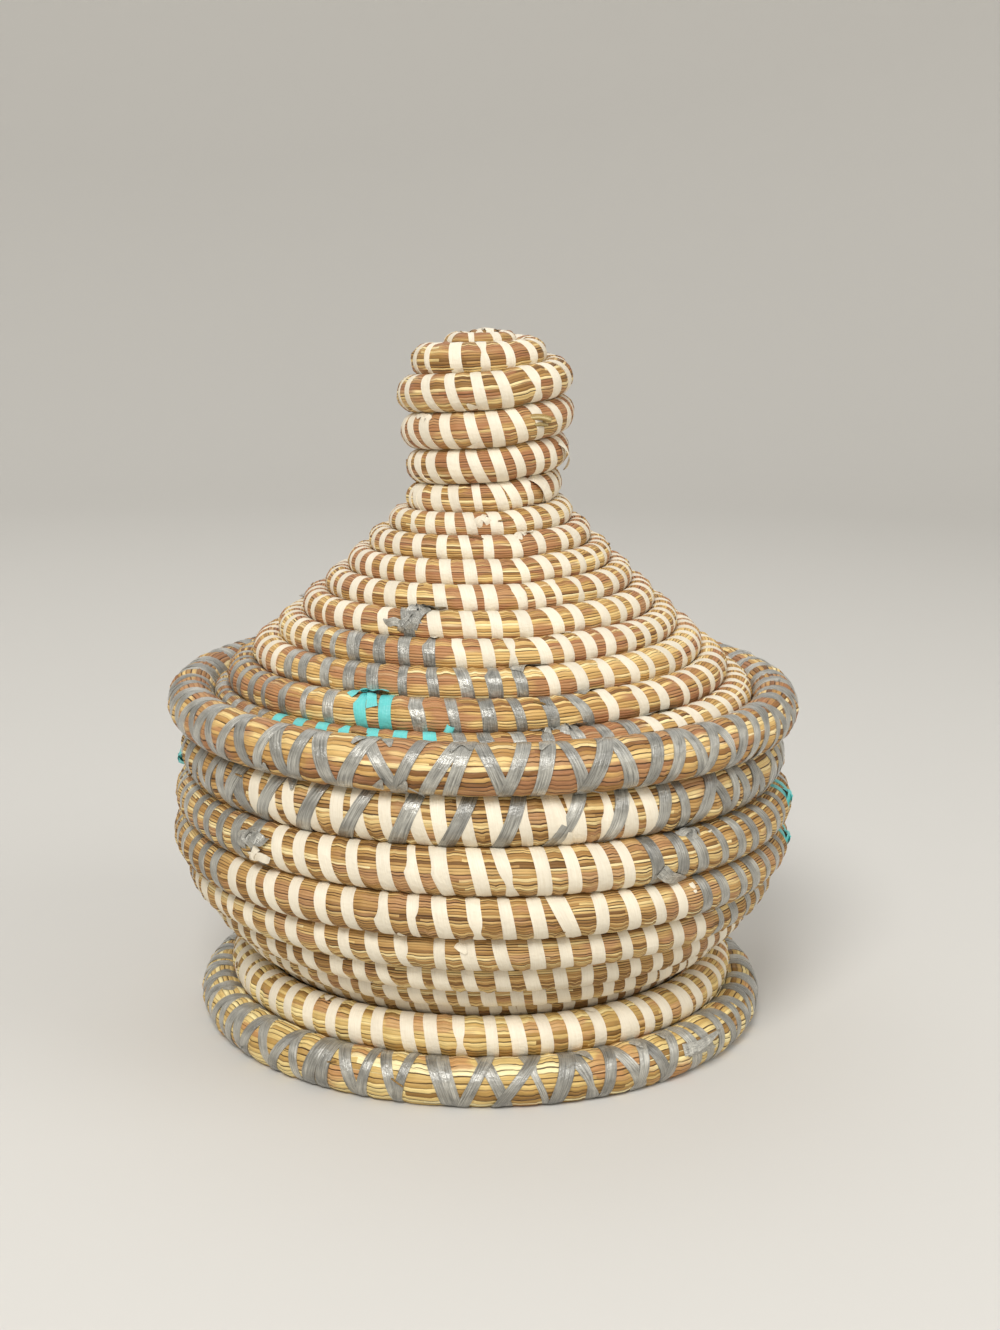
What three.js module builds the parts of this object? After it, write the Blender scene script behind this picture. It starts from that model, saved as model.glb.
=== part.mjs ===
// Lidded basket of coiled grass, in millimetres, +Z up, standing on z = 0 with its axis on Z.
// A bowl on a two-coil foot, and a cone-shaped lid with a hollow knob. The bowl and the lid
// are each an unbroken bundle of grass, wound clockwise, seen from above, from the middle out.

import * as THREE from 'three';

// Clearances
const turnGap = 0.6;
const seatGap = 0.3;
const lidSideClearance = 0.9;

// Foot: two level hoops, with radii to the centre line of the bundle, as everywhere below
const footRadius = 75.7;
const footStep = 8;
const footLowerThickness = 12.6;
const footUpperThickness = 11;
const footFlatDepth = 0.5;

// Bowl
const floorFlatRadius = 57.2;
const bellyRadius = 83.5;
const bellyRise = 35.9;
const cornerReach = 4.2;
const cornerDrop = 14.5;
const mouthRadius = 79.3;
const mouthRise = 22.8;
const mouthDrop = 9;
const floorThickness = 7.4;
const bellyThickness = 11.1;
const wallThickness = 13.4;
const bowlRimThickness = 14.8;

// Lid
const lidRimRadius = 83.4;
const lidRimThickness = 13.2;
const coneFootRadius = 67;
const coneFootRise = 8.9;
const coneFootReach = 6.5;
const coneHeight = 43.5;
const coneSag = 1;
const coneThickness = 9.5;
const flareRadius = 22;
const flareHeight = 8.4;
const flareDrop = 2.8;
const flareThickness = 7.1;
const neckRadius = 16.9;
const neckThickness = 8.8;
const knobRadius = 19.9;
const knobHeight = 25.5;
const knobBelly = 11;
const knobThickness = 10;
const crownHeight = 13.3;
const crownThickness = 8.6;
const lidSeatThickness = 8.8;

// How the bundles are wound and drawn
const stepsPerTurn = 24;
const coarseRadius = 36;
const coilSides = 6;
const hoopSides = 10;
const tailRadius = 1.2;
const startTurns = 2;
const bowlStepShare = 0.65;
const bowlStepStretch = 0.2;
const knobTurns = 6;
const floorTurns = 8;
const cornerTurns = 3;
const coneUpperTurns = 4;
const tailAngle = THREE.MathUtils.degToRad(90);

const turn = 2 * Math.PI;
const outlineSamples = 400;

// Outlines are paths in the plane of radius and height, read by length along them
function outlineOf(path) {
  path.arcLengthDivisions = outlineSamples;
  const length = path.getLength();
  const share = (s) => THREE.MathUtils.clamp(s / length, 0, 1);
  return {
    length,
    marks: [0, ...path.getCurveLengths()],
    at: (s) => path.getPointAt(share(s)),
    along: (s) => path.getTangentAt(share(s)),
  };
}

// Radius of a bundle along its outline, from its thickness where each stretch ends
function bundleRadius(outline, thicknesses) {
  const { marks } = outline;
  return (s) => {
    const k = Math.max(1, marks.findIndex((mark, i) => i > 0 && s <= mark));
    const share = THREE.MathUtils.clamp((s - marks[k - 1]) / (marks[k] - marks[k - 1]), 0, 1);
    return THREE.MathUtils.lerp(thicknesses[k - 1], thicknesses[k], share) / 2;
  };
}

// How far below the outline's zero height a hoop has to lie to stay clear of the bundle
function hoopDrop(outline, radiusAt, hoopRadius, hoopThickness) {
  let drop = -Infinity;
  for (let i = 0; i <= outlineSamples; i++) {
    const s = outline.length * i / outlineSamples;
    const point = outline.at(s);
    const apart = radiusAt(s) + hoopThickness / 2 + seatGap;
    const across = point.x - hoopRadius;
    if (Math.abs(across) < apart) drop = Math.max(drop, Math.sqrt(apart ** 2 - across ** 2) - point.y);
  }
  return drop;
}

// Six-sided section of a wound bundle, with points towards the turns beside it and flats that
// show outside and inside
function coilSection(radius) {
  const flatShare = Math.sin(turn / coilSides);
  return Array.from({ length: coilSides }, (_, k) => {
    const angle = turn * k / coilSides;
    return new THREE.Vector2(radius * Math.cos(angle), radius * Math.sin(angle) / flatShare);
  });
}

// Round section of a level hoop, cut flat at the given depth below its centre
function hoopSection(radius, cutDepth = Infinity) {
  const section = [];
  for (let k = 0; k < hoopSides; k++) {
    const [a, b] = [k, k + 1].map((i) => {
      const angle = turn * i / hoopSides;
      return new THREE.Vector2(Math.cos(angle), Math.sin(angle)).multiplyScalar(radius);
    });
    if (a.y >= -cutDepth) section.push(a);
    if ((a.y < -cutDepth) !== (b.y < -cutDepth)) {
      section.push(a.clone().lerp(b, (-cutDepth - a.y) / (b.y - a.y)));
    }
  }
  return section;
}

// How far out towards the next turn a bundle has moved, as a share of the pitch, after some share
// of its turn. The step share is moved in the last stretch, and the rest evenly all the way round
function spiralShare(turnShare, stepShare) {
  const step = THREE.MathUtils.smoothstep(turnShare, 1 - bowlStepStretch, 1);
  return THREE.MathUtils.lerp(turnShare, step, stepShare);
}

// Winds a bundle along an outline from the middle out. It starts thin, so that the middle is
// closed, and thickens over the first turns, with its top level with the full bundle's. Each turn
// lies against the turn before, and the last one thins to a tail that fills the wedge left below
// the level hoop at the limit
function wind(outline, radiusAt, limit, stepShare = 0) {
  const stations = [];
  const startRadius = (radiusAt(0) - turnGap) / (startTurns + 1);
  for (;;) {
    const i = stations.length;
    const before = stations[i - stepsPerTurn];
    const turns = i / stepsPerTurn;
    const moved = Math.floor(turns) + spiralShare(turns % 1, stepShare);
    const edge = before
      ? before.s + before.radius + turnGap
      : turnGap + (2 * startRadius + turnGap) * moved;
    const full = turns < startTurns
      ? THREE.MathUtils.lerp(startRadius, radiusAt(0), moved / startTurns)
      : radiusAt(stations[i - 1].s);
    const radius = Math.min(full, (limit - edge) / 2);
    if (radius < Math.min(full, tailRadius)) break;
    const s = edge + radius;
    const centre = outline.at(s);
    if (turns < startTurns) centre.y += radiusAt(0) - radius;
    stations.push({ s, radius, centre, along: outline.along(s), section: coilSection(radius) });
  }
  const last = stations.length - 1;
  stations.forEach((station, i) => {
    station.angle = tailAngle + turn * (last - i) / stepsPerTurn;
  });
  return stations;
}

// A level hoop, wound once round with its two ends butted behind
function hoop(radius, height, section) {
  const half = seatGap / radius / 2;
  return Array.from({ length: stepsPerTurn + 1 }, (_, i) => ({
    angle: tailAngle - THREE.MathUtils.lerp(half, turn - half, i / stepsPerTurn),
    centre: new THREE.Vector2(radius, height),
    along: new THREE.Vector2(1, 0),
    section,
  }));
}

// Parts a wound bundle in two after some turns, leaving a small gap between the cut faces
function cutAfter(stations, turns) {
  const k = turns * stepsPerTurn;
  const start = { ...stations[k] };
  start.angle -= seatGap / start.centre.x;
  return [stations.slice(0, k + 1), [start, ...stations.slice(k + 1)]];
}

// Drops every second station of the small turns near the axis
function thinned(stations) {
  const last = stations.length - 1;
  return stations.filter((station, i) => i % 2 === 0 || i === last || station.centre.x > coarseRadius);
}

// Smallest distance between turns of one bundle, on points round the sections that face each
// other in each plane through the axis
function leastGap(stations) {
  const outlinePoints = stations.map(({ centre, along, section }) => section.flatMap((corner, k) => {
    const next = section[(k + 1) % section.length];
    return [0, 0.25, 0.5, 0.75].map((share) => {
      const p = corner.clone().lerp(next, share);
      return new THREE.Vector2(
        centre.x + p.x * along.x - p.y * along.y,
        centre.y + p.x * along.y + p.y * along.x,
      );
    });
  }));
  let least = Infinity;
  for (let i = stepsPerTurn; i < stations.length; i++) {
    for (const p of outlinePoints[i]) {
      for (const q of outlinePoints[i - stepsPerTurn]) least = Math.min(least, p.distanceTo(q));
    }
  }
  return least;
}

// Closed tube through the stations' sections
function tube(stations) {
  const sides = stations[0].section.length;
  const positions = [];
  const index = [];
  for (const { angle, centre, along, section } of stations) {
    for (const corner of section) {
      const radius = centre.x + corner.x * along.x - corner.y * along.y;
      const height = centre.y + corner.x * along.y + corner.y * along.x;
      positions.push(radius * Math.cos(angle), radius * Math.sin(angle), height);
    }
  }
  for (let i = 0; i < stations.length - 1; i++) {
    for (let j = 0; j < sides; j++) {
      const a = i * sides + j;
      const b = i * sides + (j + 1) % sides;
      index.push(a, b, b + sides, a, b + sides, a + sides);
    }
  }
  const end = (stations.length - 1) * sides;
  for (let j = 1; j < sides - 1; j++) {
    index.push(0, j + 1, j);
    index.push(end, end + j, end + j + 1);
  }
  const geometry = new THREE.BufferGeometry();
  geometry.setAttribute('position', new THREE.Float32BufferAttribute(positions, 3));
  geometry.setIndex(index);
  geometry.computeVertexNormals();
  return geometry;
}

// One named piece, with the mean colour of its grass and of the strips that bind it
function piece(name, geometry, colour, height = 0) {
  const material = new THREE.MeshStandardMaterial({ color: colour, roughness: 0.7, metalness: 0 });
  const mesh = new THREE.Mesh(geometry, material);
  mesh.name = name;
  mesh.position.z = height;
  return mesh;
}

// A coil piece, which prints the least gap to itself
function coil(name, stations, colour, height) {
  if (stations.length > stepsPerTurn) {
    console.log(`${name}: least gap between turns ${leastGap(stations).toFixed(2)} mm`);
  }
  return piece(name, tube(thinned(stations)), colour, height);
}

// Height of a hoop that rests on another one of a different radius
function hoopRise(radiusA, thicknessA, radiusB, thicknessB) {
  const apart = (thicknessA + thicknessB) / 2 + seatGap;
  return Math.sqrt(apart ** 2 - (radiusA - radiusB) ** 2);
}

// Mean colours of the grass and its white or grey strips
const whiteBound = '#c4a67c';
const greyBound = '#9d8e78';
const palerGreyBound = '#b59c68';
const bareGrass = '#a8895a';

// Foot
const footLowerHeight = footLowerThickness / 2 - footFlatDepth;
const footUpperRadius = footRadius - footStep;
const footUpperHeight = footLowerHeight
  + hoopRise(footRadius, footLowerThickness, footUpperRadius, footUpperThickness);

function foot() {
  const lower = hoop(footRadius, footLowerHeight, hoopSection(footLowerThickness / 2, footLowerHeight));
  const upper = hoop(footUpperRadius, footUpperHeight, hoopSection(footUpperThickness / 2));
  return [
    piece('foot_lower_coil', tube(lower), palerGreyBound),
    piece('foot_upper_coil', tube(upper), whiteBound),
  ];
}

// Bowl: a flat floor, a round corner up to the belly and a wall that leans in to the mouth
const bowlPath = new THREE.Path()
  .moveTo(0, 0)
  .lineTo(floorFlatRadius, 0)
  .bezierCurveTo(
    floorFlatRadius + cornerReach, 0,
    bellyRadius, bellyRise - cornerDrop,
    bellyRadius, bellyRise,
  )
  .quadraticCurveTo(bellyRadius, bellyRise + mouthRise - mouthDrop, mouthRadius, bellyRise + mouthRise);
const bowlOutline = outlineOf(bowlPath);
const bowlRadius = bundleRadius(
  bowlOutline,
  [floorThickness, floorThickness, bellyThickness, wallThickness],
);
const bowlHeight = footUpperHeight
  + hoopDrop(bowlOutline, bowlRadius, footUpperRadius, footUpperThickness);
const mouthHeight = bowlHeight + bellyRise + mouthRise;

function bowl() {
  const limit = bowlOutline.length - bowlRimThickness / 2 - seatGap;
  const [floor, side] = cutAfter(wind(bowlOutline, bowlRadius, limit, bowlStepShare), floorTurns);
  const [corner, wall] = cutAfter(side, cornerTurns);
  const rim = hoop(mouthRadius, mouthHeight, hoopSection(bowlRimThickness / 2));
  return [
    coil('bowl_floor_coil', floor, bareGrass, bowlHeight),
    coil('bowl_corner_coil', corner, whiteBound, bowlHeight),
    coil('bowl_wall_coil', wall, whiteBound, bowlHeight),
    piece('bowl_rim_coil', tube(rim), greyBound),
  ];
}

// Lid: from the crown down over the knob, the neck and the cone to the level rim
const lidHeight = mouthHeight + hoopRise(mouthRadius, bowlRimThickness, lidRimRadius, lidRimThickness);
const coneTop = coneFootRise + coneHeight;
const neckTop = coneTop + flareHeight;
const knobTop = neckTop + knobHeight;
const crownTop = knobTop + crownHeight;
const lidPath = new THREE.Path()
  .moveTo(0, crownTop)
  .quadraticCurveTo(knobRadius, crownTop, knobRadius, knobTop)
  .quadraticCurveTo(knobRadius, knobTop - knobBelly, neckRadius, neckTop)
  .quadraticCurveTo(neckRadius, neckTop - flareDrop, flareRadius, coneTop)
  .quadraticCurveTo(
    (flareRadius + coneFootRadius) / 2 - coneSag, coneFootRise + coneHeight / 2 - coneSag,
    coneFootRadius, coneFootRise,
  )
  .quadraticCurveTo(coneFootRadius + coneFootReach, 0, lidRimRadius, 0);
const lidOutline = outlineOf(lidPath);
const lidRadius = bundleRadius(
  lidOutline,
  [crownThickness, knobThickness, neckThickness, flareThickness, coneThickness, coneThickness],
);

// The seat hoop hangs under the cone and holds the lid inside the mouth
const lidSeatRadius = mouthRadius - bowlRimThickness / 2 - lidSideClearance - lidSeatThickness / 2;
const lidSeatHeight = lidHeight
  - hoopDrop(lidOutline, lidRadius, lidSeatRadius, lidSeatThickness);

function lid() {
  const limit = lidOutline.length - lidRimThickness / 2 - seatGap;
  const [knob, cone] = cutAfter(wind(lidOutline, lidRadius, limit), knobTurns);
  const [coneUpper, coneLower] = cutAfter(cone, coneUpperTurns);
  const rim = hoop(lidRimRadius, lidHeight, hoopSection(lidRimThickness / 2));
  const seat = hoop(lidSeatRadius, lidSeatHeight, hoopSection(lidSeatThickness / 2));
  return [
    coil('knob_coil', knob, whiteBound, lidHeight),
    coil('cone_upper_coil', coneUpper, whiteBound, lidHeight),
    coil('cone_lower_coil', coneLower, whiteBound, lidHeight),
    piece('lid_rim_coil', tube(rim), greyBound),
    piece('lid_seat_coil', tube(seat), bareGrass),
  ];
}

const basket = new THREE.Group();
basket.name = 'lidded_basket';
basket.add(...foot(), ...bowl(), ...lid());

export default basket;
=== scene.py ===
import math
import random
from functools import partial

import bpy
import numpy as np
from mathutils import Matrix, Vector


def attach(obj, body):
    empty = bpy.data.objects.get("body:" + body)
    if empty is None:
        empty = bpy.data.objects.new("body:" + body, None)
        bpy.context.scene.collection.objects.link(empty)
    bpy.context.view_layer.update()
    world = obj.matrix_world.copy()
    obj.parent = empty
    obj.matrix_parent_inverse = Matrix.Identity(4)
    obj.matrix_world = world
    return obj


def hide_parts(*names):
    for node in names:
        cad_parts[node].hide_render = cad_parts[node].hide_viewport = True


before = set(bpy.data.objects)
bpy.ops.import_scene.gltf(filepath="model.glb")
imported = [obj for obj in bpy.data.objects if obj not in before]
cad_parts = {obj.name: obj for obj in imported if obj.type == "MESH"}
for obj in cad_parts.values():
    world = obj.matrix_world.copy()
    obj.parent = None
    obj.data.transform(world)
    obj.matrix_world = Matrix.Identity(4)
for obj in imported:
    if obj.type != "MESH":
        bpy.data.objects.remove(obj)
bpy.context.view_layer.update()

mm = 0.001
turn = 2 * math.pi


# Small helpers

def linear(hexColour):  # sRGB hex to the linear colour that Blender's sockets take
    channels = [int(hexColour[i:i + 2], 16) / 255 for i in (1, 3, 5)]
    return tuple(c / 12.92 if c <= 0.04045 else ((c + 0.055) / 1.055) ** 2.4 for c in channels) + (1.0,)


def connect(tree, node, inputs):  # an input takes a value, a socket, or the first output of a node
    for socket, value in inputs.items():
        source = value.outputs[0] if isinstance(value, bpy.types.Node) else value
        if isinstance(source, bpy.types.NodeSocket):
            tree.links.new(source, node.inputs[socket])
        else:
            node.inputs[socket].default_value = source


def addNode(tree, kind, inputs=None, **settings):
    node = tree.nodes.new(kind)
    for name, value in settings.items():
        setattr(node, name, value)
    connect(tree, node, inputs or {})
    return node


def newMaterial(name):
    material = bpy.data.materials.new(name)
    material.use_nodes = True
    return material, material.node_tree, material.node_tree.nodes["Principled BSDF"]


def newObject(name, data):
    obj = bpy.data.objects.new(name, data)
    bpy.context.scene.collection.objects.link(obj)
    return obj


def settle(obj, body, nodes=()):  # hands a finished piece to the frame
    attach(obj, body)
    if nodes:
        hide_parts(*nodes)


def unit(vectors):
    return vectors / np.linalg.norm(vectors, axis=-1, keepdims=True)


def turnedBy(angle, flat):  # a radius and a height, turned round the axis
    radius, height = flat[..., 0], flat[..., 1] + 0 * angle
    return np.stack([radius * np.cos(angle), radius * np.sin(angle), height], -1)


def lengthsAlong(points):  # the length from the first point to each
    return np.concatenate([[0], np.cumsum(np.linalg.norm(np.diff(points, axis=0), axis=1))])


# Camera, at the photograph's viewing angle

view = {
    "place": (0.0, -0.560, 0.223),
    "pitch": 12.31,      # degrees below the horizon
    "yaw": -0.476,       # the basket stands a little left of the middle
    "roll": 0.65,
    "focalPixels": 1988,
    "framePixels": 1330,
}

camera = newObject("camera", bpy.data.cameras.new("camera"))
camera.matrix_world = (
    Matrix.Translation(view["place"])
    @ Matrix.Rotation(math.radians(view["yaw"]), 4, "Z")
    @ Matrix.Rotation(math.radians(90 - view["pitch"]), 4, "X")
    @ Matrix.Rotation(math.radians(view["roll"]), 4, "Z")
)
camera.data.sensor_width = 36
camera.data.lens = 36 * view["focalPixels"] / view["framePixels"]
camera.data.clip_start = 0.01
camera.data.clip_end = 20
bpy.context.scene.camera = camera
print("camera placed")


# Materials

grass = {
    "stemLength": 0.055,    # one stem shows for about 55 mm before the next takes over
    "wander": 2.2,          # how many stem widths the stems drift sideways
    "bundleRound": 41,      # mm round a usual bundle
    "splitWidth": 0.24,     # mm, at most
    # the painted shade inside the splits
    "splitShadeTone": "#4a2e18",
    "roughness": 0.55,
    "specular": 0.38,
    "reliefDepth": 0.00030,
}
# from the darkest stems to the lightest
basketTones = ("#785327", "#a0773f", "#b88e52", "#cba568", "#e2c585", "#f0dba4")
rimTones = ("#744b23", "#a1743d", "#be9354", "#d6b06d", "#ebcd8c", "#f4dfaa")
lidTones = ("#835a2f", "#ab7f45", "#c59b59", "#d8b06d", "#edcd88", "#f7e2aa")
strawTones = ("#86622e", "#b18b4b", "#ccaa66", "#dfc27e", "#efd998", "#f8eab7")
oliveTones = (*strawTones[:5], "#f0dca0")


def dryGrass(name, tones, stems, sheath, sheathShare, crackShare, grooveShadeTone, darkShare=0.16):
    # Dry grass stems, laid side by side: long soft glints along each stem, thin splits and soft grooves
    # with painted shade, and smoother pinkish sheaths over some. stems: how many are counted round a bundle.
    material, tree, shader = newMaterial(name)
    add = partial(addNode, tree)
    uv = add("ShaderNodeUVMap", uv_map="bundleUV")
    split = add("ShaderNodeSeparateXYZ", {0: uv})
    along, around = split.outputs[0], split.outputs[1]   # along in decimetres, around 0 to 1
    sway, patches = [
        add("ShaderNodeTexNoise", {
            0: add("ShaderNodeMapping", {0: uv, 3: scale}), "Scale": 1.0, "Detail": detail,
        })
        for scale, detail in (((2.4, 3.0, 1.0), 1.5), ((4.2, 4.5, 1.0), 2.5))
    ]

    # stems wander sideways along the bundle, and each has its own colour
    drift = add("ShaderNodeMath", {0: sway, 1: grass["wander"]}, operation="MULTIPLY")
    stemCoord = add("ShaderNodeMath", {0: around, 1: float(stems), 2: drift}, operation="MULTIPLY_ADD")
    stemNumber = add("ShaderNodeMath", {0: stemCoord}, operation="FLOOR")
    start = add("ShaderNodeTexWhiteNoise", {"W": stemNumber}, noise_dimensions="1D")
    perStem = 0.1 / grass["stemLength"]
    run = add("ShaderNodeMath", {0: along, 1: perStem, 2: start}, operation="MULTIPLY_ADD")
    piece = add("ShaderNodeMath", {0: run}, operation="FLOOR")
    identity = add("ShaderNodeCombineXYZ", {0: stemNumber, 1: piece})
    chance = add("ShaderNodeTexWhiteNoise", {"Vector": identity}, noise_dimensions="2D")
    colours = add("ShaderNodeValToRGB", {0: chance})
    ramp = colours.color_ramp.elements
    for i, (place, tone) in enumerate(zip((0.0, darkShare, 0.40, 0.66, 0.88, 1.0), tones)):
        stop = ramp[i] if i < 2 else ramp.new(place)
        stop.position = place
        stop.color = linear(tone)

    # fibres, about 0.2 mm wide and 8 mm long, and where grooves and splits come and go
    stemPlace = add("ShaderNodeCombineXYZ", {0: along, 1: stemCoord})
    fibres, hollows, cracks = [
        add("ShaderNodeTexNoise", {
            0: add("ShaderNodeMapping", {0: stemPlace, 3: scale}), "Scale": 1.0, "Detail": detail,
        })
        for scale, detail in (((13.0, 3.6, 1.0), 3.0), ((5.0, 0.5, 1.0), 2.0), ((4.5, 0.9, 1.0), 2.0))
    ]
    fibreTone = add("ShaderNodeMapRange", {0: fibres, 1: 0.3, 2: 0.7, 3: 0.78, 4: 1.18})
    shaded = add("ShaderNodeVectorMath", {0: colours, 1: fibreTone}, operation="MULTIPLY")

    # sheaths: patches a few stems wide and about 25 mm long
    least = 0.64 - sheathShare * 0.3
    patch = add("ShaderNodeMapRange", {0: patches, 1: least, 2: least + 0.06, 3: 0.0, 4: 0.78})
    sheathTone = add("ShaderNodeVectorMath", {0: linear(sheath)[:3], 1: fibreTone}, operation="MULTIPLY")

    # soft grooves between stems, and a few thin splits, both darkened with painted shade
    across = add("ShaderNodeMath", {0: stemCoord}, operation="FRACT")
    centred = add("ShaderNodeMath", {0: across, 1: 0.5}, operation="SUBTRACT")
    fromMiddle = add("ShaderNodeMath", {0: centred}, operation="ABSOLUTE")
    hollow = add("ShaderNodeMapRange", {0: hollows, 1: 0.42, 2: 0.62, 3: 0.0, 4: 1.0})
    atEdge = add("ShaderNodeMapRange", {0: fromMiddle, 1: 0.34, 2: 0.5, 3: 0.0, 4: 1.0})
    groove = add("ShaderNodeMath", {0: atEdge, 1: hollow}, operation="MULTIPLY")
    widest = grass["splitWidth"] * stems / grass["bundleRound"]
    least = 0.60 - crackShare * 0.3
    splitWidth = add("ShaderNodeMapRange", {0: cracks, 1: least, 2: least + 0.2, 3: 0.0, 4: widest})
    toEdge = add("ShaderNodeMath", {0: 0.5, 1: fromMiddle}, operation="SUBTRACT")
    splits = add("ShaderNodeMath", {0: splitWidth, 1: toEdge}, operation="SUBTRACT")
    for operation, by in (("MULTIPLY", 14.0), ("MAXIMUM", 0.0), ("MINIMUM", 0.88)):
        splits = add("ShaderNodeMath", {0: splits, 1: by}, operation=operation)
    # sheaths take their own colour; grooves and splits take painted shade
    for share, tone in (
        (patch, sheathTone), (groove, linear(grooveShadeTone)), (splits, linear(grass["splitShadeTone"])),
    ):
        shaded = add("ShaderNodeMix", {0: share, 6: shaded, 7: tone}, data_type="RGBA").outputs[2]

    # relief: each stem is round, and its fibres stand out a little
    square = add("ShaderNodeMath", {0: fromMiddle, 1: 2.0}, operation="POWER")
    relief = add("ShaderNodeMath", {0: square, 1: -2.6, 2: 1.0}, operation="MULTIPLY_ADD")
    for part, share in ((splits, -1.0), (fibres, 0.5)):
        relief = add("ShaderNodeMath", {0: part, 1: share, 2: relief}, operation="MULTIPLY_ADD")
    bump = add("ShaderNodeBump", {"Height": relief, "Distance": grass["reliefDepth"], "Strength": 0.85})
    rough = grass["roughness"]
    gloss = add("ShaderNodeMapRange", {0: fibres, 1: 0.3, 2: 0.7, 3: rough + 0.1, 4: rough - 0.1})
    connect(tree, shader, {
        "Base Color": shaded, "Normal": bump, "Roughness": gloss, "Specular IOR Level": grass["specular"],
    })
    return material


# the last colour on each line is the painted shade in the grooves between stems
basketGrass = dryGrass("tanDriedGrass", basketTones, 46, "#b98a5e", 0.25, 0.46, "#7a5430", darkShare=0.18)
lidGrass = dryGrass("goldenDriedGrass", lidTones, 36, "#b07852", 0.50, 0.36, "#7c522c")
knobGrass = dryGrass("brownDriedGrass", basketTones, 36, "#a9714b", 0.50, 0.36, "#765029", darkShare=0.18)
rimGrass = dryGrass("coarseDriedGrass", rimTones, 31, "#ab7852", 0.45, 0.48, "#6a4427")
tanFootGrass = dryGrass("oliveDriedGrass", oliveTones, 30, "#c39362", 0.30, 0.40, "#9c7a45")
strawGrass = dryGrass("paleDriedStraw", strawTones, 28, "#c08c5a", 0.30, 0.52, "#7e5c30")

plastics = [
    {
        "name": "warmWhiteSplitPlastic", "colour": "#ede3ce", "streak": "#d8c9ab", "streakAndSheenShare": 0.40,
        "tintAndGlossSpread": 0.06, "tintAndSheenPatchSpread": 0.03, "roughness": 0.50, "metallic": 0.0, "coat": 0.0,
        "reliefDepth": 0.00016,
    },
    {
        # light streaks over most of the grey film: partly its own fibre lines, partly painted sheen
        "name": "silverGreySplitPlastic", "colour": "#78766e", "streak": "#cecbc0", "streakAndSheenShare": 0.80,
        "tintAndGlossSpread": 0.22, "tintAndSheenPatchSpread": 0.28, "roughness": 0.34, "metallic": 0.35, "coat": 0.9,
        "reliefDepth": 0.00020,
    },
    {
        "name": "turquoiseSplitPlastic", "colour": "#5fc9c6", "streak": "#93dedb", "streakAndSheenShare": 0.35,
        "tintAndGlossSpread": 0.06, "tintAndSheenPatchSpread": 0.06, "roughness": 0.42, "metallic": 0.0, "coat": 0.2,
        "reliefDepth": 0.00014,
    },
]


def splitPlastic(kind):
    # Polypropylene strips split from woven sacking: flat film with fine lines lengthwise, which
    # spread its highlight across the strip. The grey film holds a metal pigment.
    material, tree, shader = newMaterial(kind["name"])
    add = partial(addNode, tree)
    uv = add("ShaderNodeUVMap", uv_map="stripUV")
    shade = add("ShaderNodeAttribute", attribute_name="shade").outputs["Fac"]   # each strip has its own
    spread = add("ShaderNodeMath", {0: shade, 1: 37.0}, operation="MULTIPLY")
    ownPlace = add("ShaderNodeCombineXYZ", {0: spread, 1: spread})
    place = add("ShaderNodeVectorMath", {0: uv, 1: ownPlace}, operation="ADD")
    # lines about 0.25 mm apart across a 4 mm strip, patches about 6 mm long (painted sheen on the grey film, a
    # faint tint on the others), and crumples of 2 to 3 mm
    lines, patches, crumples = [
        add("ShaderNodeTexNoise", {
            0: add("ShaderNodeMapping", {0: place, 3: scale}), "Scale": 1.0, "Detail": detail,
            "Roughness": rough,
        })
        for scale, detail, rough in (
            ((15.0, 1.6, 1.0), 3.0, 0.65), ((0.7, 2.4, 1.0), 1.5, 0.5), ((3.0, 9.0, 1.0), 2.0, 0.5),
        )
    ]
    # the lines' colour: on the grey film partly painted sheen, on the others the film's own tint
    lineShare = add("ShaderNodeMapRange", {0: lines, 1: 0.35, 2: 0.68, 3: 0.0, 4: kind["streakAndSheenShare"]})
    colour, streak = linear(kind["colour"]), linear(kind["streak"])
    streaked = add("ShaderNodeMix", {0: lineShare, 6: colour, 7: streak}, data_type="RGBA")
    # each strip's tone: a random tint, and on the grey film also a painted gloss that differs from strip to
    # strip
    low, high = 0.98 - kind["tintAndGlossSpread"], 0.98 + kind["tintAndGlossSpread"]
    tone = add("ShaderNodeMapRange", {0: shade, 3: low, 4: high})
    # patches of painted sheen along the grey film; on the others a faint tint
    low, high = 1 - kind["tintAndSheenPatchSpread"], 1 + kind["tintAndSheenPatchSpread"]
    patch = add("ShaderNodeMapRange", {0: patches, 1: 0.34, 2: 0.66, 3: low, 4: high})
    both = add("ShaderNodeMath", {0: tone, 1: patch}, operation="MULTIPLY")
    toned = add("ShaderNodeVectorMath", {0: streaked.outputs[2], 1: both}, operation="MULTIPLY")
    relief = add("ShaderNodeMath", {0: crumples, 1: 1.6, 2: lines}, operation="MULTIPLY_ADD")
    bump = add("ShaderNodeBump", {"Height": relief, "Distance": kind["reliefDepth"], "Strength": 0.8})
    # the split edges are frayed and dull
    across = add("ShaderNodeSeparateXYZ", {0: uv})
    fromMiddle = add("ShaderNodeMath", {0: across, 1: 0.5}, operation="SUBTRACT")
    edge = add("ShaderNodeMath", {0: fromMiddle}, operation="ABSOLUTE")
    dull = add("ShaderNodeMapRange", {0: edge, 1: 0.45, 2: 0.49, 3: kind["roughness"], 4: 0.85})
    connect(tree, shader, {
        "Base Color": toned, "Normal": bump, "Coat Normal": bump, "Roughness": dull,
        "Metallic": kind["metallic"], "Specular IOR Level": 0.5, "IOR": 1.49,
        "Coat Weight": kind["coat"], "Coat Roughness": 0.3,
    })
    return material


whitePlastic, greyPlastic, bluePlastic = stripMaterials = [splitPlastic(kind) for kind in plastics]
white, grey, blue = 0, 1, 2
print("materials made")


# Outlines and bundles, with the same sizes as the solids, in millimetres

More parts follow.
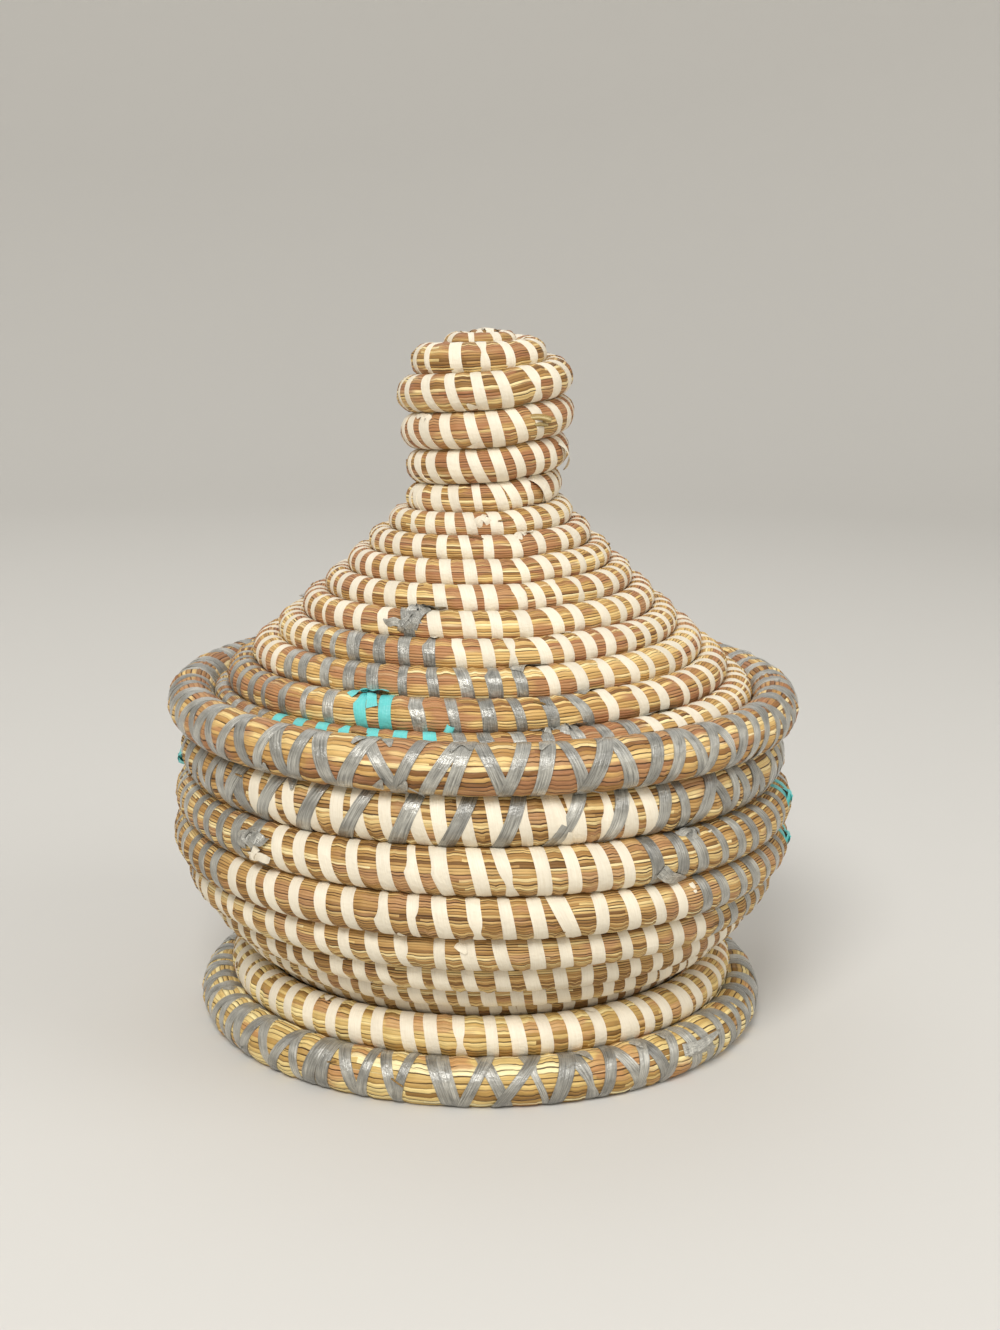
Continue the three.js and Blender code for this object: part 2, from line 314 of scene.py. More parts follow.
winding = {"gap": 0.6, "seatGap": 0.3, "steps": 24, "startTurns": 2, "tailRadius": 1.2, "tailAngle": 90.0}


def curveThrough(points, samples=200):  # a Bezier curve: a line, a quadratic or a cubic one
    t = np.linspace(0, 1, samples + 1)[:, None]
    level = [np.array(point, float) + 0 * t for point in points]
    while len(level) > 1:
        level = [a * (1 - t) + b * t for a, b in zip(level, level[1:])]
    return level[0]


def makeOutline(curves, thicknesses):
    drawn = [curveThrough(curve) for curve in curves]
    marks = np.concatenate([[0], np.cumsum([lengthsAlong(curve)[-1] for curve in drawn])])
    points = np.concatenate([drawn[0], *(curve[1:] for curve in drawn[1:])])
    return {"points": points, "s": lengthsAlong(points), "marks": marks, "radii": np.array(thicknesses) / 2}


def outlineAt(outline, s):
    return np.stack([np.interp(s, outline["s"], outline["points"][:, k]) for k in (0, 1)], -1)


def outlineAlong(outline, s, reach=0.8):
    after = outlineAt(outline, np.minimum(s + reach, outline["s"][-1]))
    return unit(after - outlineAt(outline, np.maximum(s - reach, 0)))


def spiralShare(x, stepShare, stretch=0.2):
    t = min(max((x - 1 + stretch) / stretch, 0.0), 1.0)
    return x * (1 - stepShare) + stepShare * t * t * (3 - 2 * t)


def wind(outline, rimThickness, stepShare):  # stations of a wound bundle: place along the outline, and radius
    gap, steps = winding["gap"], winding["steps"]
    radiusAt = lambda s: float(np.interp(s, outline["marks"], outline["radii"]))
    limit = outline["s"][-1] - rimThickness / 2 - winding["seatGap"]
    startRadius = (radiusAt(0) - gap) / (winding["startTurns"] + 1)
    found = []
    while True:
        i = len(found)
        turns = i / steps
        moved = math.floor(turns) + spiralShare(turns % 1, stepShare)
        if i >= steps:
            edge = found[i - steps][0] + found[i - steps][1] + gap
        else:
            edge = gap + (2 * startRadius + gap) * moved
        if turns < winding["startTurns"]:
            full = startRadius + (radiusAt(0) - startRadius) * moved / winding["startTurns"]
        else:
            full = radiusAt(found[-1][0])
        radius = min(full, (limit - edge) / 2)
        if radius < min(full, winding["tailRadius"]):
            return np.array(found)
        found.append((edge + radius, radius))


def alongPath(centres, radii, outward, turns, step):
    # evens out the stations of a path to one for each step of its length; everything in mm
    lengths = lengthsAlong(centres)
    at = np.linspace(0, lengths[-1], max(2, int(round(lengths[-1] / step)) + 1))
    spread = lambda values: np.stack([np.interp(at, lengths, values[:, k]) for k in range(3)], -1)
    centre, normal = spread(centres), spread(outward)
    tangent = unit(np.gradient(centre, axis=0))
    return {
        "length": at, "centre": centre, "radius": np.interp(at, lengths, radii), "tangent": tangent,
        "normal": unit(normal - tangent * (normal * tangent).sum(1, keepdims=True)),
        "turns": np.interp(at, lengths, turns),
    }


def coilPath(outline, fromTurn, toTurn, step=0.95):  # toTurn: None for the end of the bundle
    last = len(outline["stations"]) - 1
    end = last if toTurn is None else toTurn * winding["steps"]
    i = np.arange(fromTurn * winding["steps"] * 8, end * 8 + 1) / 8
    s, radius = (np.interp(i, np.arange(last + 1), outline["stations"][:, k]) for k in (0, 1))
    centre = outlineAt(outline, s)
    starting = i < winding["startTurns"] * winding["steps"]
    centre[:, 1] += np.where(starting, outline["radii"][0] - radius, 0) + outline["height"]
    along = outlineAlong(outline, s)
    side = np.stack([-along[:, 1], along[:, 0]], -1) * outline["sideways"]
    turnsLeft = (last - i) / winding["steps"]
    angle = math.radians(winding["tailAngle"]) + turn * turnsLeft
    return alongPath(turnedBy(angle, centre), radius, turnedBy(angle, side), turnsLeft, step)


# the thin end of a bundle: lengths and radii in mm
tail = {"turns": 0.6, "step": 0.004, "least": 0.8, "press": 0.25, "push": 1.8, "fadeTurns": 0.08}


def tailInto(path, outline, hoopRadius, hoopHeight, hoopThickness):
    # the end of a bundle thins out into the gap that its last round leaves below or above the hoop
    last = len(outline["stations"]) - 1
    u = np.arange(0, tail["turns"], tail["step"])
    i = last - winding["steps"] * (1 - u)
    s, besideRadius = (np.interp(i, np.arange(last + 1), outline["stations"][:, k]) for k in (0, 1))
    beside = outlineAt(outline, s) + (0, outline["height"])
    toHoop = np.array([hoopRadius, hoopHeight]) - beside
    gap = np.linalg.norm(toHoop, axis=1) - besideRadius - hoopThickness / 2
    toHoop = unit(toHoop)
    side = np.stack([-toHoop[:, 1], toHoop[:, 0]], -1) * outline["sideways"]
    radius = gap / 2 + tail["press"]
    push = tail["push"] * (1 - radius / radius[0])
    centre = beside + toHoop * (besideRadius + gap / 2)[:, None] + side * push[:, None]
    before = path["centre"][-1]
    fade = np.clip(1 - u / tail["fadeTurns"], 0, 1)
    centre += (np.array([np.hypot(*before[:2]), before[2]]) - centre[0]) * fade[:, None]
    radius += (path["radius"][-1] - radius[0]) * fade
    kept = np.cumsum(radius < tail["least"]) == 0
    kept[0] = False
    u, centre, side, radius = u[kept], centre[kept], side[kept], radius[kept]
    angle = math.radians(winding["tailAngle"]) - turn * u
    place, outward = turnedBy(angle, centre), turnedBy(angle, side)
    more = {"centre": place, "radius": radius, "normal": outward, "turns": -u}
    return alongPath(*(np.concatenate([path[key], more[key]]) for key in more), path["length"][1])


def hoopPath(radius, height, thickness, lean=0.0, step=0.95):
    # a level hoop; lean: degrees that its outward direction is turned up
    turns = np.linspace(0, 1, 400)
    angle = math.radians(winding["tailAngle"]) + turn * turns
    side = np.array([math.cos(math.radians(lean)), math.sin(math.radians(lean))])
    place, outward = turnedBy(angle, np.array([radius, height])), turnedBy(angle, side)
    return alongPath(place, np.full_like(angle, thickness / 2), outward, turns, step)


def hoopRise(radiusA, thicknessA, radiusB, thicknessB):  # of one hoop above another that it rests on
    apart = (thicknessA + thicknessB) / 2 + winding["seatGap"]
    return math.sqrt(apart ** 2 - (radiusA - radiusB) ** 2)


def hoopDrop(outline, hoopRadius, hoopThickness):  # how far below an outline a hoop touches its bundle
    s = np.linspace(0, outline["s"][-1], 401)
    points = outlineAt(outline, s)
    apart = np.interp(s, outline["marks"], outline["radii"]) + hoopThickness / 2 + winding["seatGap"]
    across = points[:, 0] - hoopRadius
    near = np.abs(across) < apart
    return (np.sqrt(apart[near] ** 2 - across[near] ** 2) - points[near, 1]).max()


foot = {"radius": 75.7, "step": 8.0, "lowerThickness": 12.6, "upperThickness": 11.0, "flatDepth": 0.5}
bowl = {
    "floorFlat": 57.2, "bellyRadius": 83.5, "bellyRise": 35.9, "cornerReach": 4.2, "cornerDrop": 14.5,
    "mouthRadius": 79.3, "mouthRise": 22.8, "mouthDrop": 9.0, "floorThickness": 7.4, "bellyThickness": 11.1,
    "wallThickness": 13.4, "rimThickness": 14.8, "stepShare": 0.65, "floorTurns": 8, "cornerTurns": 3,
}
lid = {
    "rimRadius": 83.4, "rimThickness": 13.2, "coneFootRadius": 67.0, "coneFootRise": 8.9, "coneFootReach": 6.5,
    "coneHeight": 43.5, "coneSag": 1.0, "coneThickness": 9.5, "flareRadius": 22.0, "flareHeight": 8.4,
    "flareDrop": 2.8, "flareThickness": 7.1, "neckRadius": 16.9, "neckThickness": 8.8, "knobRadius": 19.9,
    "knobHeight": 25.5, "knobBelly": 11.0, "knobThickness": 10.0, "crownHeight": 13.3, "crownThickness": 8.6,
    "seatThickness": 8.8, "sideClearance": 0.9, "knobTurns": 6, "upperTurns": 4,
}

lowerHeight = foot["lowerThickness"] / 2 - foot["flatDepth"]
upperRadius = foot["radius"] - foot["step"]
upperHeight = lowerHeight + hoopRise(
    foot["radius"], foot["lowerThickness"], upperRadius, foot["upperThickness"],
)

flat, belly, rise = bowl["floorFlat"], bowl["bellyRadius"], bowl["bellyRise"]
mouthRise = rise + bowl["mouthRise"]
bowlOutline = makeOutline(
    [
        [(0, 0), (flat, 0)],
        [(flat, 0), (flat + bowl["cornerReach"], 0), (belly, rise - bowl["cornerDrop"]), (belly, rise)],
        [(belly, rise), (belly, mouthRise - bowl["mouthDrop"]), (bowl["mouthRadius"], mouthRise)],
    ],
    [bowl[part + "Thickness"] for part in ("floor", "floor", "belly", "wall")],
)
bowlHeight = upperHeight + hoopDrop(bowlOutline, upperRadius, foot["upperThickness"])
mouthHeight = bowlHeight + mouthRise

lidHeight = mouthHeight + hoopRise(
    bowl["mouthRadius"], bowl["rimThickness"], lid["rimRadius"], lid["rimThickness"],
)
footRise = lid["coneFootRise"]
coneTop = footRise + lid["coneHeight"]
neckTop = coneTop + lid["flareHeight"]
knobTop = neckTop + lid["knobHeight"]
crownTop = knobTop + lid["crownHeight"]
knobR, neckR, flareR, footR = (lid[part + "Radius"] for part in ("knob", "neck", "flare", "coneFoot"))
coneMiddle = ((flareR + footR) / 2 - lid["coneSag"], footRise + lid["coneHeight"] / 2 - lid["coneSag"])
lidOutline = makeOutline(
    [
        [(0, crownTop), (knobR, crownTop), (knobR, knobTop)],
        [(knobR, knobTop), (knobR, knobTop - lid["knobBelly"]), (neckR, neckTop)],
        [(neckR, neckTop), (neckR, neckTop - lid["flareDrop"]), (flareR, coneTop)],
        [(flareR, coneTop), coneMiddle, (footR, footRise)],
        [(footR, footRise), (footR + lid["coneFootReach"], 0), (lid["rimRadius"], 0)],
    ],
    [lid[part + "Thickness"] for part in ("crown", "knob", "neck", "flare", "cone", "cone")],
)
seatRadius = bowl["mouthRadius"] - bowl["rimThickness"] / 2 - lid["sideClearance"] - lid["seatThickness"] / 2
seatHeight = lidHeight - hoopDrop(lidOutline, seatRadius, lid["seatThickness"])

# sideways: +1 where the outside is left of the outline's direction, else -1
for outline, height, sideways, rimThickness, stepShare in (
    (bowlOutline, bowlHeight, -1, bowl["rimThickness"], bowl["stepShare"]),
    (lidOutline, lidHeight, 1, lid["rimThickness"], 0.0),
):
    outline.update(height=height, sideways=sideways, stations=wind(outline, rimThickness, stepShare))
    print(f"outline at {height:.2f} mm, {len(outline['stations']) / winding['steps']:.2f} turns")


# Where the strips go

random.seed(41)
strips = {
    "width": 3.5,          # mm
    "widthSpread": 0.3,
    "leastWidth": 1.2,
    "lean": 13.0,          # degrees, from upper left to lower right
    "leanSpread": 3.5,
    "placeSpread": 0.7,    # mm
    "doubled": 0.05,       # share of strips with a second one close beside
    "plainShapes": 8,
    "foldedShapes": 5,     # pinched, folded over, creased and turned ones
    "foldedShare": 0.16,   # on the bowl and the foot
    "lidFoldedShare": 0.30,
}
crossed = {                # strips that run both ways round a hoop
    "placeSpread": 1.1,    # mm
    "leanSpread": 7,       # degrees
    "widthSpread": 0.45,   # mm
    "overLift": 1.022,     # the one that passes over the others
    "turnBack": 0.86,      # share of strips that lean against the one before
    "closerAtSides": 0.25,
}
# mm from strip to strip at the front, by rows counted from the outer end; the last goes on to the middle
lidPitch = (7.6, 8.4, 7.8, 7.1, 7.7, 7.1, 6.6, 7.0, 6.2, 6.0, 6.3, 6.6, 7.9, 7.5)
bowlPitch = (7.9, 8.1, 8.2, 7.4, 6.6, 6.4)


def placeOn(path, length):  # the frame of a path at some length along it
    found = {key: float(np.interp(length, path["length"], path[key])) for key in ("radius", "turns")}
    for key in ("centre", "normal", "tangent"):
        found[key] = np.array([np.interp(length, path["length"], path[key][:, k]) for k in range(3)])
    found["normal"] = unit(found["normal"])
    tangent = unit(found["tangent"] - found["normal"] * (found["tangent"] @ found["normal"]))
    up = np.cross(tangent, found["normal"])
    found["up"] = -up if up[2] < 0 else up
    found["right"] = np.cross(found["up"], found["normal"])   # as seen from outside
    return found


def fromFront(turns):  # degrees from the middle of the front, to the right, of a place on a bundle
    return (turns % 1) * 360 - 180


def placeAt(paths, row, front):  # the frame at a row and degrees from the front, on the path that holds it
    wanted = row + (front + 180) / 360
    nearest = min(paths, key=lambda path: max(path["turns"].min() - wanted, wanted - path["turns"].max()))
    way = -1 if nearest["turns"][0] > nearest["turns"][-1] else 1
    return placeOn(nearest, float(np.interp(wanted, nearest["turns"][::way], nearest["length"][::way])))


def runs(table, other=white):  # colour by row, counted from the outer end, and by degrees from the front
    def colourOf(row, front):
        for low, high, colour in table.get(row, ()):
            if low <= front < high:
                return colour
        return other
    return colourOf


lidColours = runs({
    0: [(-180, -46, grey), (-46, -10, blue), (-10, 34, grey)],
    1: [(-150, -32.5, grey), (-32.5, -20, blue), (-20, 25, grey)],
    2: [(-62, 10, grey)],
    3: [(-54, -9, grey)],
    4: [(-26, -19, grey)],
})
bowlColours = runs({
    0: [(-180, -41, grey), (28, 74, grey), (74, 84, blue), (84, 181, grey)],
    1: [(-180, -53, grey), (38, 77, grey), (77, 86, blue), (86, 181, grey)],
    2: [(-180, -72, grey), (44, 181, grey)],
})


def oneStrip(length, lean, width, colour, lift=1.0, shape=None, foldedShare=strips["foldedShare"]):
    if shape is None:
        plain = random.random() >= foldedShare
        count = strips["plainShapes"] if plain else strips["foldedShapes"]
        shape = random.randrange(count) + (0 if plain else strips["plainShapes"])
    return {"length": length, "lean": lean, "width": width, "colour": colour, "lift": lift, "shape": shape}


def bindEvenly(
    path, pitch=(7.5,), width=strips["width"], colourOf=runs({}), lean=strips["lean"], first=2.0, lift=1.0,
    foldedShare=strips["foldedShare"],
):  # one strip after another, each leaning the same way
    found, length = [], first
    while length < path["length"][-1] - 1.0:
        here = placeOn(path, length)
        reach = max(np.hypot(*here["centre"][:2]), 4)
        wide = 1 + 0.8 * here["radius"] * (here["centre"][:2] @ here["normal"][:2]) / reach ** 2
        row, front = max(math.floor(here["turns"]), 0), fromFront(here["turns"])
        near = min(1.0, 0.55 + reach / 36)   # narrower and closer near the middle of a coil
        colour = colourOf(row, front)
        place = length + random.uniform(-1, 1) * strips["placeSpread"] * near
        leans = lean + random.gauss(0, strips["leanSpread"])
        wideness = width * near + random.gauss(0, strips["widthSpread"])
        found.append(oneStrip(place, leans, wideness, colour, lift, foldedShare=foldedShare))
        if random.random() < strips["doubled"]:
            place += random.uniform(1.2, 2.2)
            leans += random.uniform(4, 12)
            found.append(oneStrip(place, leans, wideness * 0.8, colour, lift + 0.02))
        length += pitch[min(row, len(pitch) - 1)] * near / wide
    return found


def bindCrosswise(path, spacing=6.3, lean=20.0, width=3.5, keep=lambda front: True, first=2.0):
    # two windings that run against each other and cross on the outside
    found, length, way = [], first, 1
    while length < path["length"][-1] - 1.0:
        front = fromFront(placeOn(path, length)["turns"])
        if keep(front):
            place = length + random.uniform(-1, 1) * crossed["placeSpread"]
            leans = way * (lean + random.gauss(0, crossed["leanSpread"]))
            wideness = width + random.gauss(0, crossed["widthSpread"])
            found.append(oneStrip(place, leans, wideness, grey, lift=1.0 if way > 0 else crossed["overLift"]))
        way = -way if random.random() < crossed["turnBack"] else way
        closer = 1 - crossed["closerAtSides"] * min(max((abs(front) - 45) / 40, 0), 1)
        length += spacing * closer * random.uniform(0.75, 1.25)
    return found


def coverSeam(path, bound, colour):  # a strip over the place where a hoop's ends meet
    for length, lift in ((0.0, 1.0), (path["length"][-1], 1.03)):
        bound.append(oneStrip(length, 5, 4.4, colour, lift, shape=0))
    return bound


# Shapes of one strip: a flat band bent once round a bundle of radius 1

bands = {"edge": 0.972, "ridge": 0.998, "under": 0.93, "innerLift": 0.012, "lengthwise": 3}
bandAngles = [math.radians(a) for a in (*range(-75, 76, 15), 95, 115, 137, 158, 180, 202, 223, 245, 265)]


def bandShape(name, edgesAt):  # edgesAt: left edge, right edge, ridge and lift of the band at an angle
    points, faces, uvs = [], [], []
    for angle in bandAngles:
        left, right, ridge, lift = edgesAt(angle)
        lift += bands["innerLift"] if math.cos(angle) < -0.1 else 0.0   # longer faces there would sink in
        edge, under = bands["edge"] + lift, bands["under"]
        for across, radius in (
            (left, edge), (ridge, bands["ridge"] + lift), (right, edge), (right, under), (left, under),
        ):
            points.append((across, radius * math.sin(angle), radius * math.cos(angle)))
    count, sides, shares = len(bandAngles), 5, (0.0, 0.5, 1.0, 1.0, 0.0)
    for j in range(count):
        for side in (0, 1, 2, 4):   # the underside stays open, pressed into the grass
            square = ((j, side), (j, side + 1), (j + 1, side + 1), (j + 1, side))
            faces.append([row % count * sides + corner % sides for row, corner in square])
            uvs += [(shares[corner % sides], row / count * bands["lengthwise"]) for row, corner in square]
    mesh = bpy.data.meshes.new(name)
    mesh.from_pydata(points, [], faces)
    mesh.uv_layers.new(name="stripUV").data.foreach_set("uv", [value for pair in uvs for value in pair])
    mesh.polygons.foreach_set("use_smooth", [True] * len(faces))
    sharp = [a % sides == b % sides and a % sides != 1 for a, b in (edge.vertices[:] for edge in mesh.edges)]
    mesh.attributes.new("sharp_edge", "BOOLEAN", "EDGE").data.foreach_set("value", sharp)
    return bpy.data.objects.new(name, mesh)


def stripShapes():
    shapes = bpy.data.collections.new("stripShapes")
    for number in range(strips["plainShapes"] + strips["foldedShapes"]):
        kind = number - strips["plainShapes"]
        phase, wave = random.uniform(0, turn), random.uniform(0.005, 0.022)
        bow, ridgeAt = random.uniform(0.0, 0.07), random.uniform(-0.22, 0.22)
        foldAt, foldSide = random.uniform(-0.5, 0.5), random.choice((-1, 1))
        taper = random.uniform(-0.06, 0.06)

        def edgesAt(angle):
            bend = math.remainder(angle - foldAt, turn)
            half = 0.5 * (1 + taper * math.sin(angle) - 0.04 * math.sin(angle) ** 4)
            drift = bow * (math.cos(angle) - 0.4)
            left = -half + wave * math.sin(3 * angle + phase)
            right = half + wave * math.sin(2 * angle + phase * 1.7)
            ridge, lift = ridgeAt, 0.0
            if kind == 0:      # pinched to a narrow waist
                waist = 1 - 0.55 * math.exp(-(bend / 0.40) ** 2)
                left, right, ridge, lift = left * waist, right * waist, ridge * waist, 0.03 * (1 - waist)
            elif kind == 1:    # one edge folded over above the fold
                left += 0.42 / (1 + math.exp(-bend / 0.07))
                ridge = left + 0.18
            elif kind == 2:    # the same on the other edge, below the fold
                right -= 0.38 / (1 + math.exp(bend / 0.07))
                ridge = right - 0.18
            elif kind == 3:    # creased lengthwise
                ridge, lift = 0.27 * foldSide, 0.012
            elif kind == 4:    # turned a little, so that it bulges on one side
                left -= 0.12 * math.exp(-((bend + 0.3) / 0.3) ** 2)
                right -= 0.16 * math.exp(-(bend / 0.4) ** 2)
            return drift + left, drift + right, drift + min(max(ridge, left + 0.1), right - 0.1), lift

        shapes.objects.link(bandShape(f"bandShape{number:02d}", edgesAt))
    return shapes


shapeCollection = stripShapes()


# Node trees that wind the bundles and the strips

def newTree(name, sockets):
    tree = bpy.data.node_groups.new(name, "GeometryNodeTree")
    for label, kind in sockets.items():
        tree.interface.new_socket(name=label, in_out="INPUT", socket_type="NodeSocket" + kind)
    tree.interface.new_socket(name="Geometry", in_out="OUTPUT", socket_type="NodeSocketGeometry")
    return tree, partial(addNode, tree), addNode(tree, "NodeGroupInput").outputs


def bundleTree():
    tree, add, given = newTree("woundBundle", {
        "Geometry": "Geometry", "Sides": "Int", "Side Press": "Float", "Stem Relief": "Float", "Seed": "Float",
        "Grass": "Material",
    })
    outward = add("GeometryNodeInputNamedAttribute", {"Name": "outward"}, data_type="FLOAT_VECTOR")
    radius, around, along = [
        add("GeometryNodeInputNamedAttribute", {"Name": name}, data_type="FLOAT")
        for name in ("bundleRadius", "around", "along")
    ]
    line = add("GeometryNodeMeshToCurve", {"Mesh": given["Geometry"]})
    turned = add("GeometryNodeSetCurveNormal", {"Curve": line, "Normal": outward}, mode="FREE")
    section = add("GeometryNodeCurvePrimitiveCircle", {"Resolution": given["Sides"], "Radius": 1.0})
    pressed = add("ShaderNodeCombineXYZ", {0: 1.0, 1: given["Side Press"], 2: 1.0})
    flattened = add("GeometryNodeTransform", {"Geometry": section, "Scale": pressed})
    share = add("GeometryNodeSplineParameter")
    marked = add(
        "GeometryNodeStoreNamedAttribute",
        {"Geometry": flattened, "Name": "around", "Value": share.outputs["Factor"]},
        data_type="FLOAT", domain="POINT",
    )
    tube = add("GeometryNodeCurveToMesh", {
        "Curve": turned, "Profile Curve": marked, "Scale": radius, "Fill Caps": True,
    })
    # stems stand out from the bundle by a little, in ridges that run along it
    angle = add("ShaderNodeMath", {0: around, 1: turn}, operation="MULTIPLY")
    cosine, sine = (add("ShaderNodeMath", {0: angle}, operation=name) for name in ("COSINE", "SINE"))
    slow = add("ShaderNodeMath", {0: along, 1: 5.0, 2: given["Seed"]}, operation="MULTIPLY_ADD")
    place = add("ShaderNodeCombineXYZ", {0: cosine, 1: sine, 2: slow})
    noise = add("ShaderNodeTexNoise", {"Vector": place, "Scale": 2.6, "Detail": 2.0})
    centred = add("ShaderNodeMath", {0: noise, 1: 0.55}, operation="SUBTRACT")
    relief = add("ShaderNodeMath", {0: centred, 1: given["Stem Relief"]}, operation="MULTIPLY")
    normal = add("GeometryNodeInputNormal")
    offset = add("ShaderNodeVectorMath", {0: normal, "Scale": relief}, operation="SCALE")
    moved = add("GeometryNodeSetPosition", {"Geometry": tube, "Offset": offset})
    smooth = add("GeometryNodeSetShadeSmooth", {"Geometry": moved, "Shade Smooth": True})
    real = add("GeometryNodeRealizeInstances", {"Geometry": smooth})
    finished = add("GeometryNodeSetMaterial", {"Geometry": real, "Material": given["Grass"]})
    add("NodeGroupOutput", {"Geometry": finished})
    return tree


def stripTree():
    tree, add, given = newTree("boundStrips", {
        "Geometry": "Geometry", "Shapes": "Collection", "White": "Material", "Grey": "Material",
        "Turquoise": "Material",
    })
    outward, onward, size, middle = [
        add("GeometryNodeInputNamedAttribute", {"Name": name}, data_type="FLOAT_VECTOR")
        for name in ("outward", "onward", "size", "middle")
    ]
    number, colour = [
        add("GeometryNodeInputNamedAttribute", {"Name": name}, data_type="INT") for name in ("shape", "colour")
    ]
    slope = add("GeometryNodeInputNamedAttribute", {"Name": "slope"}, data_type="FLOAT")
    shapes = add(
        "GeometryNodeCollectionInfo",
        {"Collection": given["Shapes"], "Separate Children": True, "Reset Children": True},
    )
    rotation = add("FunctionNodeAxesToRotation", {0: outward, 1: onward}, primary_axis="Z", secondary_axis="X")
    laid = add("GeometryNodeInstanceOnPoints", {
        "Points": given["Geometry"], "Instance": shapes, "Pick Instance": True, "Instance Index": number,
        "Rotation": rotation, "Scale": size,
    })
    real = add("GeometryNodeRealizeInstances", {"Geometry": laid})
    # each one slants along its bundle by so much for every mm of height, and stays flat on it
    sideways = add("ShaderNodeVectorMath", {0: outward, 1: onward}, operation="CROSS_PRODUCT")
    position = add("GeometryNodeInputPosition")
    away = add("ShaderNodeVectorMath", {0: position, 1: middle}, operation="SUBTRACT")
    rise = add("ShaderNodeVectorMath", {0: away, 1: sideways}, operation="DOT_PRODUCT")
    slide = add("ShaderNodeMath", {0: rise.outputs["Value"], 1: slope}, operation="MULTIPLY")
    shift = add("ShaderNodeVectorMath", {0: onward, "Scale": slide}, operation="SCALE")
    before = add("GeometryNodeSetPosition", {"Geometry": real, "Offset": shift})
    for value, label in enumerate(("White", "Grey", "Turquoise")):
        chosen = add("FunctionNodeCompare", {2: colour, 3: value}, data_type="INT", operation="EQUAL")
        before = add(
            "GeometryNodeSetMaterial", {"Geometry": before, "Selection": chosen, "Material": given[label]},
        )
    add("NodeGroupOutput", {"Geometry": before})
    return tree


def evaluated(name, mesh, tree, values):  # runs a node tree on a mesh and keeps the result as a plain mesh
    base = newObject(name + "Base", mesh)
    modifier = base.modifiers.new(tree.name, "NODES")
    modifier.node_group = tree
    for item in tree.interface.items_tree:
        if item.in_out == "INPUT" and item.name in values:
            modifier[item.identifier] = values[item.name]
    base.update_tag()
    bpy.context.view_layer.update()
    result = bpy.data.meshes.new_from_object(base.evaluated_get(bpy.context.evaluated_depsgraph_get()))
    bpy.data.objects.remove(base)
    result.name = name
    return newObject(name, result)


def storeValues(mesh, table):  # attributes of the points: numbers, whole numbers or vectors
    for label, values in table.items():
        values = np.array(values)
        whole = values.dtype.kind == "i"
        kind = "FLOAT_VECTOR" if values.ndim == 2 else "INT" if whole else "FLOAT"
        flat = values.astype(np.int32 if whole else np.float32).ravel()
        attribute = mesh.attributes.new(label, kind, "POINT")
        attribute.data.foreach_set("vector" if values.ndim == 2 else "value", flat)


def readValues(items, label, kind, width=1):
    values = np.zeros(len(items) * width, kind)
    items.foreach_get(label, values)
    return values if width == 1 else values.reshape(-1, width)


bundles = {
    "sides": 26, "stemRelief": 1.0 * mm,
    "pinch": 0.050,       # share of its radius by which a bundle is drawn in under a strip
    "swell": 0.056,       # and by which it swells between strips
    "flankSwell": 0.7,    # the share of that towards the next rounds, which are in its way
    "flankPress": 1.03,   # the strips' height there
    "edgeHold": 0.55,     # mm past a strip's edge that are still drawn in
    "edgeReach": 1.7,     # mm from a strip's edge to the full swell
    "stripReach": 9,      # mm along the bundle that a leaning strip can reach
}
windBundle = bundleTree()
windStrips = stripTree()


def drawIn(points, lengths, path, bound, press):
    # draws a bundle in under each strip and lets it swell between them; all in mm
    hold = np.zeros(len(points))
    for one in bound:
        here, lean = placeOn(path, one["length"]), math.radians(one["lean"])
        across = here["right"] * math.cos(lean) + here["up"] * math.sin(lean)
        span = (one["length"] - bundles["stripReach"], one["length"] + bundles["stripReach"])
        low, high = np.searchsorted(lengths, span)
        off = np.abs((points[low:high] - here["centre"]) @ across)
        reach = one["width"] / 2 + bundles["edgeReach"]
        t = np.clip((reach - off) / (bundles["edgeReach"] - bundles["edgeHold"]), 0, 1)
        hold[low:high] = np.maximum(hold[low:high], t * t * (3 - 2 * t))
    spread = lambda key: np.stack([np.interp(lengths, path["length"], path[key][:, k]) for k in range(3)], -1)
    centre, outward = spread("centre"), spread("normal")
    outs = ((points - centre) * outward).sum(1)
    sideways = np.linalg.norm(points - centre - outs[:, None] * outward, axis=1) / press
    off = np.maximum(np.hypot(outs, sideways), 1e-6)
    share = np.maximum(off / np.interp(lengths, path["length"], path["radius"]), 0.05)
    flank = (sideways / off) ** 4   # 1 towards the next rounds, where the bundle fills the crevice
    level = np.where(share > 0.5, (1 - bundles["pinch"] * (1 - flank)) / share, 1.0)
    swollen = 1 + bundles["swell"] * (1 - (1 - bundles["flankSwell"]) * flank)
    return centre + (points - centre) * (swollen * (1 - hold) + level * hold)[:, None]


